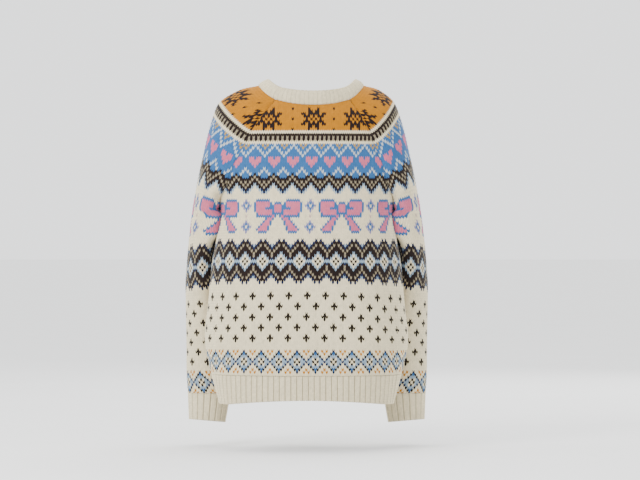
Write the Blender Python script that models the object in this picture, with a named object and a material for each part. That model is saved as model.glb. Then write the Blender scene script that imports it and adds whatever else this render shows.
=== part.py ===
"""Fair isle cardigan: a knitted raglan cardigan, buttoned up and filled out as it is when worn.

Units are metres and +Z is up.  The wearer faces -Y, and the wearer's left is +X.  The origin lies
midway between the two points where the neck seam crosses the tops of the shoulders.

Every knitted piece is a wall between an outer grid of points and a plain inner grid.  The outer
points lie on a worn form: level sections for the body, and arcs over the arm for the sleeves.
"""
import math

import bmesh
import bpy
import numpy as np

# ---------------------------------------------------------------- driving dimensions
WALL = 0.003                    # thickness of the chunky knit
SEAM_GAP = 0.0003               # air between two pieces at a seam
ROUNDNESS = 2.25                # exponent of the level sections, 2 is an ellipse

HEM_HEIGHT = -0.6105            # lower edge of the hem rib
RIB_TOP_HEIGHT = -0.5545        # where the hem rib meets the body
UNDERARM_HEIGHT = -0.228        # where side seams and raglan seams meet
BACK_HALF_ARC = 0.193           # centre back to side seam, measured along the cloth

NECK_HALF_WIDTH = 0.1008        # shoulder crossing of the neck seam
NECK_SIDE_HEIGHT = -0.002
NECK_BACK_DROP = 0.0387
NECK_FRONT_DROP = 0.092
BACK_LEVEL_HEIGHT = -0.090      # courses of the back are level below this height
FRONT_LEVEL_HEIGHT = -0.125     # and those of the fronts below this one

NECKBAND_NARROWING = 0.80       # width of the neckband's top over the width of its seam
NECKBAND_DEEPENING = 0.90       # the same from front to back
NECKBAND_RISE_SIDE = 0.012
NECKBAND_RISE_CENTRE = 0.028
NECKBAND_BULGE = 0.0035         # how far the middle of the band stands out
NECKBAND_UPTURN = 0.020         # how far the bulge turns upwards over the neck's radius

BAND_WIDTH = 0.030              # front bands
BAND_HALF = BAND_WIDTH / 2

HEM_RISE = 0.009                # how far the hem is drawn up at the middle of the back
HEM_RISE_HALF_WIDTH = 0.150
HEM_RIB_PITCH = 0.0110
NECK_RIB_PITCH = 0.0085
CUFF_RIBS = 18
BAND_RIBS = 4
RIB_RISE = 0.0012               # hem and cuff ribs stand this far out of their wall
FINE_RIB_RISE = 0.0008          # neckband and front bands

BUTTON_COUNT = 7
BUTTON_RADIUS = 0.0095
BUTTON_THICKNESS = 0.0032
BUTTON_RIM = 0.0018             # width of the raised rim
BUTTON_DISH = 0.0010            # depth of the dished middle
BUTTON_END_DISTANCE = 0.0150    # from either end of the band to the nearest button's centre
BUTTON_CLEARANCE = 0.0005       # keeps a flat button off the curved band
BUTTON_SIDES = 20

# ---------------------------------------------------------------- grids
BACK_COLUMNS = 22
FRONT_COLUMNS = 13
BODY_ROWS = 11                  # from rib to underarm
YOKE_ROWS = 9                   # from underarm to neck, shared by body and sleeve caps
TUBE_ROWS = 11                  # from underarm to cuff
SLEEVE_COLUMNS = 20             # back seam over the arm to front seam, an even number
RIB_ROWS = 2
BAND_ROWS = 26
PATH_SAMPLES = 160              # fineness of the curves that the grids are read from
SEAM_TURN_HEIGHT = -0.192       # below this the raglan seams turn under the arm
ARMHOLE_HEIGHT = -0.2054        # columns are even above this
FAN_END_HEIGHT = -0.36          # columns fan out between here and the underarm
FAN_SHARPNESS = 5               # how much of the fan the outermost columns take
COURSE_CROWDING = 1.35          # above 1 crowds the yoke's rows towards the underarm
CREASE_COSINE = 0.2             # seams that turn more than this are creases
CLOTH_SHARP_ANGLE = 50.0        # edges that turn more, in degrees, are shaded as edges
BUTTON_SHARP_ANGLE = 40.0
MIRROR = np.array([-1.0, 1.0, 1.0])     # from the wearer's left side to the right side

# ---------------------------------------------------------------- the worn form
# Level sections of the body.  Above the underarm the half width is that of body and sleeve
# caps together, so that the raglan seams lie on one smooth round of the shoulders.
BODY_COLUMN_NAMES = ("height", "half_width", "back_depth", "front_depth")
BODY_TABLE = (
    (-0.6105, 0.1665, 0.1010, 0.1030),
    (-0.5890, 0.1725, 0.1040, 0.1060),
    (-0.5545, 0.1815, 0.1100, 0.1120),
    (-0.5300, 0.1870, 0.1150, 0.1170),
    (-0.4935, 0.1940, 0.1180, 0.1200),
    (-0.4530, 0.1930, 0.1170, 0.1200),
    (-0.4166, 0.1885, 0.1150, 0.1190),
    (-0.3780, 0.1848, 0.1130, 0.1190),
    (-0.3360, 0.1800, 0.1120, 0.1200),
    (-0.2920, 0.1720, 0.1110, 0.1200),
    (-0.2600, 0.1695, 0.1105, 0.1200),
    (-0.2280, 0.1710, 0.1100, 0.1180),
    (-0.2200, 0.1740, 0.1095, 0.1170),
    (-0.2054, 0.1820, 0.1085, 0.1150),
    (-0.1824, 0.1950, 0.1065, 0.1100),
    (-0.1574, 0.2010, 0.1030, 0.1040),
    (-0.1260, 0.1958, 0.0970, 0.0940),
    (-0.0883, 0.1868, 0.0865, 0.0760),
    (-0.0653, 0.1795, 0.0780, 0.0590),
    (-0.0407, 0.1710, 0.0605, 0.0440),
    (-0.0296, 0.1630, 0.0510, 0.0360),
)

# Raglan seams: their distance from the middle of the body at each height.
RAGLAN_COLUMN_NAMES = ("height", "back_x", "front_x")
RAGLAN_TABLE = (
    (-0.2200, 0.1610, 0.1610),
    (-0.2054, 0.1560, 0.1565),
    (-0.1824, 0.1494, 0.1500),
    (-0.1574, 0.1423, 0.1425),
    (-0.1260, 0.1275, 0.1290),
    (-0.0883, 0.1110, 0.1110),
    (-0.0653, 0.0970, 0.0965),
    (-0.0520, 0.0875, 0.0850),
    (-0.0296, 0.0705, 0.0700),
)

# Sleeve caps, from the neck (course 0) to the underarm (course 1).  Each arc leaves the back
# seam, passes the top of the arm and ends at the front seam.  Bulge is 0 where the arc carries
# on smoothly from the body, and 1 where it turns straight back or forwards round the arm.
CAP_COLUMN_NAMES = ("course", "back_height", "front_height", "top_x", "top_y", "top_height",
                    "bulge", "back_reach", "front_reach", "top_reach")
CAP_TABLE = (
    (0.00, -0.0296, -0.0520, 0.1008, -0.0040, -0.0020, 0.00, 0.020, 0.020, 0.020),
    (0.14, -0.0620, -0.0780, 0.1340, -0.0050, -0.0105, 0.00, 0.033, 0.032, 0.033),
    (0.28, -0.0922, -0.1030, 0.1665, -0.0060, -0.0335, 0.03, 0.042, 0.042, 0.042),
    (0.45, -0.1240, -0.1310, 0.1815, -0.0070, -0.0700, 0.12, 0.045, 0.047, 0.047),
    (0.62, -0.1560, -0.1600, 0.1927, -0.0080, -0.1120, 0.28, 0.044, 0.050, 0.052),
    (0.80, -0.1920, -0.1940, 0.2030, -0.0090, -0.1570, 0.62, 0.044, 0.056, 0.062),
    (0.90, -0.2100, -0.2110, 0.2063, -0.0095, -0.1735, 0.85, 0.046, 0.092, 0.080),
    (0.95, -0.2190, -0.2195, 0.2079, -0.0097, -0.1817, 0.93, 0.052, 0.130, 0.090),
    (1.00, -0.2280, -0.2280, 0.2095, -0.0100, -0.1900, 1.00, 0.062, 0.172, 0.104),
)

# Sleeve tubes, from the underarm (station 0) to the cuff rib (station 1).  The outer line is the
# outside of the arm and the inner line is the underarm seam; slant is how far the ring's plane
# leans as the arm comes forwards.
TUBE_COLUMN_NAMES = ("station", "outer_x", "outer_y", "outer_height", "inner_x", "inner_y",
                     "inner_height", "back_reach", "front_reach", "top_reach", "slant")
TUBE_TABLE = (
    (0.00, 0.2095, -0.010, -0.190, 0.1645, 0.0340, -0.2280, 0.062, 0.172, 0.104, 0.0),
    (0.05, 0.2155, -0.018, -0.211, 0.1732, 0.0220, -0.2400, 0.074, 0.152, 0.099, 3.0),
    (0.12, 0.2220, -0.032, -0.240, 0.1745, -0.010, -0.2620, 0.084, 0.121, 0.092, 7.0),
    (0.20, 0.2272, -0.047, -0.271, 0.1745, -0.035, -0.2900, 0.083, 0.102, 0.090, 11.0),
    (0.30, 0.2312, -0.066, -0.312, 0.1760, -0.066, -0.3280, 0.088, 0.085, 0.086, 15.0),
    (0.43, 0.2345, -0.088, -0.366, 0.1690, -0.088, -0.3740, 0.083, 0.080, 0.081, 17.0),
    (0.59, 0.2352, -0.109, -0.430, 0.1550, -0.109, -0.4330, 0.073, 0.073, 0.073, 13.0),
    (0.76, 0.2345, -0.121, -0.500, 0.1420, -0.121, -0.5000, 0.067, 0.067, 0.067, 5.0),
    (0.92, 0.2340, -0.122, -0.565, 0.1430, -0.122, -0.5650, 0.059, 0.059, 0.059, -2.0),
    (1.00, 0.2318, -0.120, -0.597, 0.1500, -0.120, -0.5980, 0.048, 0.048, 0.048, -3.0),
)
UNDERARM_SPREAD = 0.30          # outward turn of the sleeve where it leaves the body
SPREAD_END = 0.25               # station where that turn has died away
CAP_RISE = 0.9                  # share of the way to the top of the arm in a cap row's first direction
SLOPE_STEP = 0.004              # distance inside a seam from which the body's slope is read
EASED_ROWS = 4                  # rows either side of the underarm that are eased together
EASED_FROM = 3                  # columns over which the easing grows, beside the seam's own column
EASING_PASSES = 8
CUFF_END = (1.15, 0.2297, -0.117, -0.6480, 0.1600, -0.117, -0.6540, 0.041, 0.041, 0.041, -3.0)

# The yoke sits a little towards the wearer's right: shift of the middle at each height.
LEAN_COLUMN_NAMES = ("height", "shift")
LEAN_TABLE = (
    (-0.4500, 0.0000),
    (-0.3500, -0.0040),
    (-0.2500, -0.0075),
    (-0.1500, -0.0100),
    (-0.0900, -0.0135),
    (0.0300, -0.0135),
)
LEAN_HALF_WIDTH = 0.17          # the shift fades out at this distance from the middle

# Soft hanging folds: angle round the body from centre back towards the wearer's left, width of
# the fold, depth (minus is a trough), and the heights between which it swells.
FOLD_COLUMN_NAMES = ("angle", "width", "depth", "low", "high")
FOLD_TABLE = (
    (24.0, 16.0, -0.0045, -0.62, -0.40),
    (8.0, 12.0, 0.0030, -0.62, -0.42),
    (-13.0, 14.0, -0.0045, -0.62, -0.38),
    (-34.0, 16.0, 0.0030, -0.62, -0.36),
    (62.0, 18.0, -0.0040, -0.58, -0.27),
    (-64.0, 18.0, -0.0040, -0.58, -0.27),
    (138.0, 20.0, -0.0050, -0.60, -0.25),
    (-140.0, 20.0, -0.0045, -0.60, -0.28),
    (158.0, 14.0, 0.0025, -0.60, -0.36),
    (-160.0, 14.0, 0.0025, -0.60, -0.32),
)
FOLD_HALF_WIDTH = 0.190         # the ellipse round which the folds are spaced
FOLD_HALF_DEPTH = 0.115

# ---------------------------------------------------------------- colours
CREAM = (0.70, 0.64, 0.53)
BONE = (0.80, 0.74, 0.62)
CLOTH_ROUGHNESS = 0.9
BUTTON_ROUGHNESS = 0.35


# ---------------------------------------------------------------- reading tables and curves
def read_table(table, names, name, at):
    """Value of a named column, smoothly between the table's rows (its first column is the key)."""
    values = np.array(table)
    keys = values[:, 0]
    column = values[:, names.index(name)]
    slopes = np.gradient(column, keys)
    at = np.clip(at, keys[0], keys[-1])
    row = np.clip(np.searchsorted(keys, at) - 1, 0, len(keys) - 2)
    span = keys[row + 1] - keys[row]
    part = (at - keys[row]) / span
    rise = (1 + 2 * part) * (1 - part) ** 2 * column[row] + part ** 2 * (3 - 2 * part) * column[row + 1]
    bend = part * (1 - part) ** 2 * slopes[row] - part ** 2 * (1 - part) * slopes[row + 1]
    return rise + bend * span


def distances(points):
    """Distance along a polyline from its first point to each of its points."""
    steps = np.linalg.norm(np.diff(points, axis=0), axis=1)
    return np.concatenate([[0.0], np.cumsum(steps)])


def along_curve(points, fractions):
    """Points at the given fractions of a polyline's length."""
    reached = distances(points)
    wanted = np.asarray(fractions) * reached[-1]
    return np.stack([np.interp(wanted, reached, points[:, axis]) for axis in range(3)], axis=1)


# ---------------------------------------------------------------- body form
def body_value(name, height):
    return read_table(BODY_TABLE, BODY_COLUMN_NAMES, name, height)


def fold_relief(angle, height):
    """How far the folds move the cloth outwards at an angle round the body and a height."""
    relief = 0.0
    for values in FOLD_TABLE:
        fold = dict(zip(FOLD_COLUMN_NAMES, values))
        across = math.exp(-((angle - fold["angle"]) / fold["width"]) ** 2)
        upward = (height - fold["low"]) / (fold["high"] - fold["low"])
        swell = math.sin(math.pi * upward) ** 2 if 0.0 < upward < 1.0 else 0.0
        relief += fold["depth"] * across * swell
    return relief


def body_section(height):
    """Left half of the level section at a height, from centre back to centre front."""
    half_width = body_value("half_width", height)
    quarter = np.linspace(0.0, math.pi / 2, PATH_SAMPLES)
    x = half_width * np.sin(quarter) ** (2 / ROUNDNESS)
    unit_y = np.cos(quarter) ** (2 / ROUNDNESS)
    unit_y[-1] = 0.0
    back = np.stack([x, body_value("back_depth", height) * unit_y, np.full_like(x, height)], axis=1)
    front = np.stack([x, -body_value("front_depth", height) * unit_y, np.full_like(x, height)], axis=1)
    return np.concatenate([back, front[-2::-1]])


def body_front_y(height):
    return -body_value("front_depth", height)


def raglan_arc(height, which):
    """Distance from centre back to a raglan seam, along the section at a height."""
    section = body_section(height)
    reached = distances(section)
    seam_x = read_table(RAGLAN_TABLE, RAGLAN_COLUMN_NAMES, which + "_x", height)
    if which == "back":
        half = section[:PATH_SAMPLES]
        return np.interp(seam_x, half[:, 0], reached[:PATH_SAMPLES])
    half = section[PATH_SAMPLES - 1:]
    return np.interp(-seam_x, -half[:, 0], reached[PATH_SAMPLES - 1:])


def seam_arc(height, which):
    """Distance from centre back to the edge of the back or front panel at a height."""
    if height <= UNDERARM_HEIGHT:
        return BACK_HALF_ARC
    if height >= SEAM_TURN_HEIGHT:
        return raglan_arc(height, which)
    below = (SEAM_TURN_HEIGHT - height) / (SEAM_TURN_HEIGHT - UNDERARM_HEIGHT)
    straight = raglan_arc(max(height, RAGLAN_TABLE[0][0]), which)
    return straight + below ** 2 * (BACK_HALF_ARC - straight)


def body_point(height, arc):
    """Point of the left half of the body at a height and a distance from centre back."""
    section = body_section(height)
    return along_curve(section, [arc / distances(section)[-1]])[0]


def neck_height(x, drop):
    """Height of the neck seam at a distance from the middle."""
    part = min(abs(x) / NECK_HALF_WIDTH, 1.0)
    return NECK_SIDE_HEIGHT - drop * math.sqrt(1.0 - part * part)


def seam_point(which, height):
    return body_point(height, seam_arc(height, which))


# ---------------------------------------------------------------- panel grids
def cap_courses():
    """Courses of the sleeve cap from underarm to neck, closer together near the underarm."""
    return 1.0 - np.linspace(0.0, 1.0, YOKE_ROWS + 1) ** COURSE_CROWDING


def seam_heights(which):
    """Heights where the yoke's rows meet a raglan seam, from the underarm up."""
    return read_table(CAP_TABLE, CAP_COLUMN_NAMES, which + "_height", cap_courses())


def yoke_height(edge_height, top_height, level_height, neck):
    """Height of a yoke row below a point of the neck seam, where it meets its seam at edge_height."""
    if edge_height <= level_height:
        return edge_height
    part = (edge_height - level_height) / (top_height - level_height)
    return level_height + part * (neck - level_height)


def panel_row(which, edge_height, columns):
    """One row of the back's left half or of the left front, from its middle to its seam."""
    back = which == "back"
    drop = NECK_BACK_DROP if back else NECK_FRONT_DROP
    level = BACK_LEVEL_HEIGHT if back else FRONT_LEVEL_HEIGHT
    middle_x = 0.0 if back else BAND_HALF
    top = CAP_TABLE[0][CAP_COLUMN_NAMES.index(which + "_height")]
    top_x = seam_point(which, top)[0]
    end = seam_point(which, edge_height)
    points = []
    for part in np.linspace(0.0, 1.0, columns + 1)[:-1]:
        neck = neck_height(middle_x + part * (top_x - middle_x), drop)
        height = yoke_height(edge_height, top, level, neck)
        section = body_section(height)
        length = distances(section)[-1]
        first_arc = 0.0 if back else length - BAND_HALF
        end_arc = seam_arc(height, which) if edge_height <= level else edge_arc_at(section, which, end[0])
        place = column_place(part, abs(end_arc - first_arc), height, which)
        arc = first_arc + math.copysign(place, end_arc - first_arc)
        points.append(along_curve(section, [arc / length])[0])
    return np.array(points + [end])


def column_place(part, span, height, which):
    """Distance of a column from the row's middle edge; columns fan out below the armhole."""
    if height >= ARMHOLE_HEIGHT:
        return part * span
    middle_arc = 0.0 if which == "back" else distances(body_section(ARMHOLE_HEIGHT))[-1] - BAND_HALF
    armhole_span = abs(raglan_arc(ARMHOLE_HEIGHT, which) - middle_arc)
    fade = min(max((height - FAN_END_HEIGHT) / (UNDERARM_HEIGHT - FAN_END_HEIGHT), 0.0), 1.0)
    even = span - fade * (span - armhole_span)
    return part * even + (span - even) * part ** FAN_SHARPNESS


def edge_arc_at(section, which, x):
    """Distance from centre back to the point of a section that lies at x, at the back or front."""
    reached = distances(section)
    if which == "back":
        return np.interp(x, section[:PATH_SAMPLES, 0], reached[:PATH_SAMPLES])
    return np.interp(-x, -section[PATH_SAMPLES - 1:, 0], reached[PATH_SAMPLES - 1:])


def body_heights():
    """Heights of the rows from the rib to just below the underarm."""
    return np.linspace(RIB_TOP_HEIGHT, UNDERARM_HEIGHT, BODY_ROWS + 1)[:-1]


def half_panel(which, columns):
    """Grid of the back's left half or of the left front, rows from the rib up to the neck."""
    heights = np.concatenate([body_heights(), seam_heights(which)])
    return np.array([panel_row(which, height, columns) for height in heights])


def bezier(start, start_handle, end_handle, end):
    """Curve between two points; the handles are the first and last pulls, as steps from the ends."""
    t = np.linspace(0.0, 1.0, PATH_SAMPLES)[:, None]
    near = (1 - t) ** 3 * start + 3 * (1 - t) ** 2 * t * (start + start_handle)
    far = 3 * (1 - t) * t ** 2 * (end + end_handle) + t ** 3 * end
    return near + far


def unit(vector):
    return vector / np.linalg.norm(vector)


def arm_arc(which, seam, top, seam_handle, top_reach, slant):
    """Arc from a seam to the outside of the arm, over its back or its front."""
    side = 1.0 if which == "back" else -1.0
    round_arm = np.array([0.0, side * math.cos(slant), -side * math.sin(slant)])
    return bezier(seam, seam_handle, round_arm * top_reach, top)


def cap_arc(which, course):
    """Half of a sleeve-cap row, from the raglan seam to the top of the arm."""
    def value(name):
        return float(read_table(CAP_TABLE, CAP_COLUMN_NAMES, name, course))
    seam_height = value(which + "_height")
    side = 1.0 if which == "back" else -1.0
    seam = seam_point(which, seam_height)
    inside = body_point(seam_height, seam_arc(seam_height, which) - side * SLOPE_STEP)
    top = np.array([value("top_x"), value("top_y"), value("top_height")])
    smooth = unit(unit(seam - inside) + np.array([0.0, 0.0, CAP_RISE]) * unit(top - seam)[2])
    bulge = value("bulge")
    direction = unit((1 - bulge) * smooth + bulge * np.array([UNDERARM_SPREAD, side, 0.0]))
    return arm_arc(which, seam, top, direction * value(which + "_reach"), value("top_reach"), 0.0)


def tube_arc(which, values):
    """Half of a sleeve ring, from the underarm seam to the outside of the arm."""
    row = dict(zip(TUBE_COLUMN_NAMES, values))
    inner = np.array([row["inner_x"], row["inner_y"], row["inner_height"]])
    outer = np.array([row["outer_x"], row["outer_y"], row["outer_height"]])
    side = 1.0 if which == "back" else -1.0
    slant = math.radians(row["slant"])
    near = max(1.0 - row["station"] / SPREAD_END, 0.0)
    direction = np.array([UNDERARM_SPREAD * near, side * math.cos(slant), -side * math.sin(slant)])
    handle = direction * row[which + "_reach"]
    return arm_arc(which, inner, outer, handle, row["top_reach"], slant)


def tube_values(station):
    """All columns of the tube table at a station between underarm and cuff rib."""
    return [float(read_table(TUBE_TABLE, TUBE_COLUMN_NAMES, name, station)) for name in TUBE_COLUMN_NAMES]


def sleeve_row(back_arc, front_arc, columns):
    """Join the two halves of a sleeve row: back seam, top of the arm, front seam."""
    fractions = np.linspace(0.0, 1.0, columns // 2 + 1)
    back = along_curve(back_arc, fractions)
    front = along_curve(front_arc, fractions)
    return np.concatenate([back, front[-2::-1]])


def sleeve_grid(columns):
    """Grid of the left sleeve, rows from the cuff rib up to the neck."""
    rows = []
    for station in np.linspace(1.0, 0.0, TUBE_ROWS + 1)[:-1]:
        values = tube_values(station)
        rows.append(sleeve_row(tube_arc("back", values), tube_arc("front", values), columns))
    for course in cap_courses():
        rows.append(sleeve_row(cap_arc("back", course), cap_arc("front", course), columns))
    return eased(np.array(rows))


def eased(grid):
    """Ease the sleeve's rows into each other either side of the underarm, away from the seams."""
    column = np.arange(grid.shape[1])
    from_edge = np.minimum(column, column[::-1])
    row_share = np.zeros(len(grid))
    row_share[TUBE_ROWS - EASED_ROWS:TUBE_ROWS + EASED_ROWS + 1] = 1.0
    share = row_share[:, None] * np.clip((from_edge - 1) / EASED_FROM, 0.0, 1.0)[None, :]
    for _ in range(EASING_PASSES):
        middle = (grid[:-2] + grid[2:]) / 2
        grid[1:-1] += 0.5 * share[1:-1, :, None] * (middle - grid[1:-1])
    return grid


# ---------------------------------------------------------------- settling, normals and walls
def settled(points):
    """Points moved by the yoke's lean."""
    moved = np.array(points, dtype=float)
    middle = np.clip(1.0 - (moved[..., 0] / LEAN_HALF_WIDTH) ** 2, 0.0, 1.0)
    moved[..., 0] += middle * read_table(LEAN_TABLE, LEAN_COLUMN_NAMES, "shift", moved[..., 2])
    return moved


def folded(points):
    """Body points moved in or out, level, by the hanging folds."""
    moved = np.array(points, dtype=float)
    for index in np.ndindex(moved.shape[:-1]):
        x, y, height = moved[index]
        angle = math.degrees(math.atan2(x / FOLD_HALF_WIDTH, y / FOLD_HALF_DEPTH))
        relief = fold_relief(angle, height)
        outward = unit(np.array([x / FOLD_HALF_WIDTH ** 2, y / FOLD_HALF_DEPTH ** 2]))
        moved[index][:2] += relief * outward
    return moved


def grid_normals(grid):
    """Outward unit normals; columns run anticlockwise seen from above and rows run upwards."""
    normals = np.cross(np.gradient(grid, axis=1), np.gradient(grid, axis=0))
    return normals / np.linalg.norm(normals, axis=-1, keepdims=True)


def share_normals(first, second):
    """Give two seam edges the same directions, unless they turn away from each other in a crease."""
    mean = first + second
    mean /= np.maximum(np.linalg.norm(mean, axis=-1, keepdims=True), 1e-6)
    alike = np.sum(first * second, axis=-1) > CREASE_COSINE
    first[alike] = mean[alike]
    second[alike] = mean[alike]


def level_normals(normals):
    """Turn directions level, for an edge that meets its neighbour at one height."""
    normals[..., 2] = 0.0
    normals /= np.linalg.norm(normals, axis=-1, keepdims=True)


def square_edge(normals, column):
    """Turn an edge's directions straight forwards, where it meets the flat side of a front band."""
    normals[:, column, 0] = 0.0
    normals[:, column] /= np.linalg.norm(normals[:, column], axis=-1, keepdims=True)


def draw_back(grid, edge, distance=SEAM_GAP / 2):
    """Pull an edge of a grid back from the seam."""
    lines = {"first_column": (grid[:, 0], grid[:, 1]), "last_column": (grid[:, -1], grid[:, -2]),
             "first_row": (grid[0], grid[1]), "last_row": (grid[-1], grid[-2])}
    border, inside = lines[edge]
    step = inside - border
    border += step / np.linalg.norm(step, axis=-1, keepdims=True) * distance


def add_wall(collection, name, outer, inner, colour, closed=False):
    """A solid wall between two grids of the same size; closed joins the last column to the first."""
    rows, columns = outer.shape[:2]
    mesh = bpy.data.meshes.new(name)
    solid = bmesh.new()
    vertices = [[[solid.verts.new(point) for point in row] for row in grid] for grid in (outer, inner)]
    spans = columns if closed else columns - 1

    def quad(*corners):
        solid.faces.new([vertices[side][row][column % columns] for side, row, column in corners])

    for row in range(rows - 1):
        for column in range(spans):
            quad((0, row, column), (0, row, column + 1), (0, row + 1, column + 1), (0, row + 1, column))
            quad((1, row, column), (1, row + 1, column), (1, row + 1, column + 1), (1, row, column + 1))
    for column in range(spans):
        quad((0, 0, column), (1, 0, column), (1, 0, column + 1), (0, 0, column + 1))
        last = rows - 1
        quad((0, last, column), (0, last, column + 1), (1, last, column + 1), (1, last, column))
    if not closed:
        for row in range(rows - 1):
            quad((0, row, 0), (0, row + 1, 0), (1, row + 1, 0), (1, row, 0))
            end = columns - 1
            quad((0, row, end), (1, row, end), (1, row + 1, end), (0, row + 1, end))
    bmesh.ops.recalc_face_normals(solid, faces=solid.faces[:])
    solid.to_mesh(mesh)
    solid.free()
    for polygon in mesh.polygons:
        polygon.use_smooth = True
    mesh.set_sharp_from_angle(angle=math.radians(CLOTH_SHARP_ANGLE))
    return add_object(collection, name, mesh, colour)


def add_object(collection, name, mesh, colour, roughness=CLOTH_ROUGHNESS):
    part = bpy.data.objects.new(name, mesh)
    collection.objects.link(part)
    material = bpy.data.materials.new(name + "_material")
    material.use_nodes = True
    shader = material.node_tree.nodes["Principled BSDF"]
    shader.inputs["Base Color"].default_value = (*colour, 1.0)
    shader.inputs["Roughness"].default_value = roughness
    shader.inputs["Metallic"].default_value = 0.0
    mesh.materials.append(material)
    return part


# ---------------------------------------------------------------- body, sleeves and cuffs
def knitted_grids():
    """Outer grids of back, fronts and sleeves, with columns anticlockwise seen from above."""
    half_back = half_panel("back", BACK_COLUMNS // 2)
    front = half_panel("front", FRONT_COLUMNS)
    sleeve = sleeve_grid(SLEEVE_COLUMNS)
    grids = {
        "back_panel": folded(np.concatenate([half_back[:, ::-1], half_back[:, 1:] * MIRROR], axis=1)),
        "front_left": folded(front),
        "front_right": folded(front * MIRROR)[:, ::-1],
        "sleeve_left": sleeve[:, ::-1],
        "sleeve_right": sleeve * MIRROR,
    }
    return {name: settled(grid) for name, grid in grids.items()}


def build_knitted_pieces(collection):
    grids = knitted_grids()
    normals = {name: grid_normals(grid) for name, grid in grids.items()}
    yoke = slice(BODY_ROWS + 1, None)
    cap = slice(TUBE_ROWS + 1, None)
    below = slice(0, BODY_ROWS + 1)
    for side, back_edge, sleeve_back, sleeve_front, front_edge in (
            ("left", 0, -1, 0, -1), ("right", -1, 0, -1, 0)):
        back = normals["back_panel"]
        front = normals["front_" + side]
        sleeve = normals["sleeve_" + side]
        share_normals(back[yoke, back_edge], sleeve[cap, sleeve_back])
        share_normals(front[yoke, front_edge], sleeve[cap, sleeve_front])
        share_normals(back[below, back_edge], front[below, front_edge])
        share_normals(sleeve[:TUBE_ROWS, 0], sleeve[:TUBE_ROWS, -1])
    square_edge(normals["front_left"], 0)
    square_edge(normals["front_right"], -1)
    for name, grid in grids.items():
        level_normals(normals[name][0])
        for edge in ("first_column", "last_column", "first_row", "last_row"):
            draw_back(grid, edge)
        add_wall(collection, name, grid, grid - WALL * normals[name], CREAM)


# ---------------------------------------------------------------- ribs
def rib_relief(count, rise):
    """Alternate ridges and valleys for a row of count points, flat at both ends."""
    relief = np.zeros(count)
    relief[1:-1:2] = rise
    return relief


def rib_wall(collection, name, rows, rise, closed=False, level=True, band_edges=()):
    """A ribbed wall through rows of points that lie on its plain outer face."""
    grid = np.array(rows)
    if closed:
        padded = np.concatenate([grid[:, -1:], grid, grid[:, :1]], axis=1)
        normals = grid_normals(padded)[:, 1:-1]
        relief = rise * (np.arange(grid.shape[1]) % 2)
    else:
        normals = grid_normals(grid)
        relief = rib_relief(grid.shape[1], rise)
        draw_back(grid, "first_column")
        draw_back(grid, "last_column")
    if level:
        level_normals(normals)
    for column in band_edges:
        square_edge(normals, column)
    draw_back(grid, "first_row", SEAM_GAP)
    draw_back(grid, "last_row")
    outer = grid + normals * relief[None, :, None]
    inner = grid - normals * WALL
    add_wall(collection, name, outer, inner, CREAM, closed)


def rib_count(length, pitch):
    """Points for whole ribs of about the given pitch along a length, two to a rib."""
    return 2 * max(1, round(length / pitch)) + 1


def drawn_up(points):
    """Hem points raised towards the middle of the back, the most at the lower edge."""
    moved = np.array(points)
    rise = np.clip(1.0 - (moved[..., 0] / HEM_RISE_HALF_WIDTH) ** 2, 0.0, 1.0)
    rise *= moved[..., 1] > 0.0
    share = (RIB_TOP_HEIGHT - moved[..., 2]) / (RIB_TOP_HEIGHT - HEM_HEIGHT)
    moved[..., 2] += HEM_RISE * rise * share
    return moved


def build_hem(collection):
    heights = np.linspace(HEM_HEIGHT, RIB_TOP_HEIGHT, RIB_ROWS + 1)
    length = distances(body_section(HEM_HEIGHT))[-1]
    back_count = rib_count(2 * BACK_HALF_ARC, HEM_RIB_PITCH)
    front_count = rib_count(length - BAND_HALF - BACK_HALF_ARC, HEM_RIB_PITCH)
    stretches = {
        "hem_rib_back": (BACK_HALF_ARC, -BACK_HALF_ARC, back_count, ()),
        "hem_rib_front_left": (None, BACK_HALF_ARC, front_count, (0,)),
        "hem_rib_front_right": (-BACK_HALF_ARC, None, front_count, (-1,)),
    }
    for name, (start, end, count, band_edges) in stretches.items():
        rows = []
        for height in heights:
            edge = distances(body_section(height))[-1] - BAND_HALF
            first = edge if start is None else start
            last = -edge if end is None else end
            row = [body_point(height, abs(arc)) * (MIRROR if arc < 0.0 else 1.0)
                   for arc in np.linspace(first, last, count)]
            rows.append(row)
        points = settled(folded(drawn_up(rows)))
        rib_wall(collection, name, points, RIB_RISE, band_edges=band_edges)


def build_cuffs(collection):
    top = tube_values(1.0)
    rows = []
    for part in np.linspace(1.0, 0.0, RIB_ROWS + 1):
        values = [near + part * (far - near) for near, far in zip(top, CUFF_END)]
        ring = sleeve_row(tube_arc("back", values), tube_arc("front", values), 2 * CUFF_RIBS)
        rows.append(ring[:-1])
    left = np.array(rows)[:, ::-1]
    right = np.array(rows) * MIRROR
    rib_wall(collection, "cuff_left", settled(left), RIB_RISE, closed=True)
    rib_wall(collection, "cuff_right", settled(right), RIB_RISE, closed=True)


def neck_seam():
    """The neck seam from the left front band round the back to the right front band."""
    top_back = CAP_TABLE[0][CAP_COLUMN_NAMES.index("back_height")]
    top_front = CAP_TABLE[0][CAP_COLUMN_NAMES.index("front_height")]
    front = panel_row("front", top_front, PATH_SAMPLES // 4)
    back = panel_row("back", top_back, PATH_SAMPLES // 4)
    shoulder = sleeve_row(cap_arc("back", 0.0), cap_arc("front", 0.0), PATH_SAMPLES // 2)
    left = np.concatenate([front, shoulder[::-1][1:-1], back[::-1]])
    right = left[::-1][1:] * MIRROR
    return np.concatenate([left, right])


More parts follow.
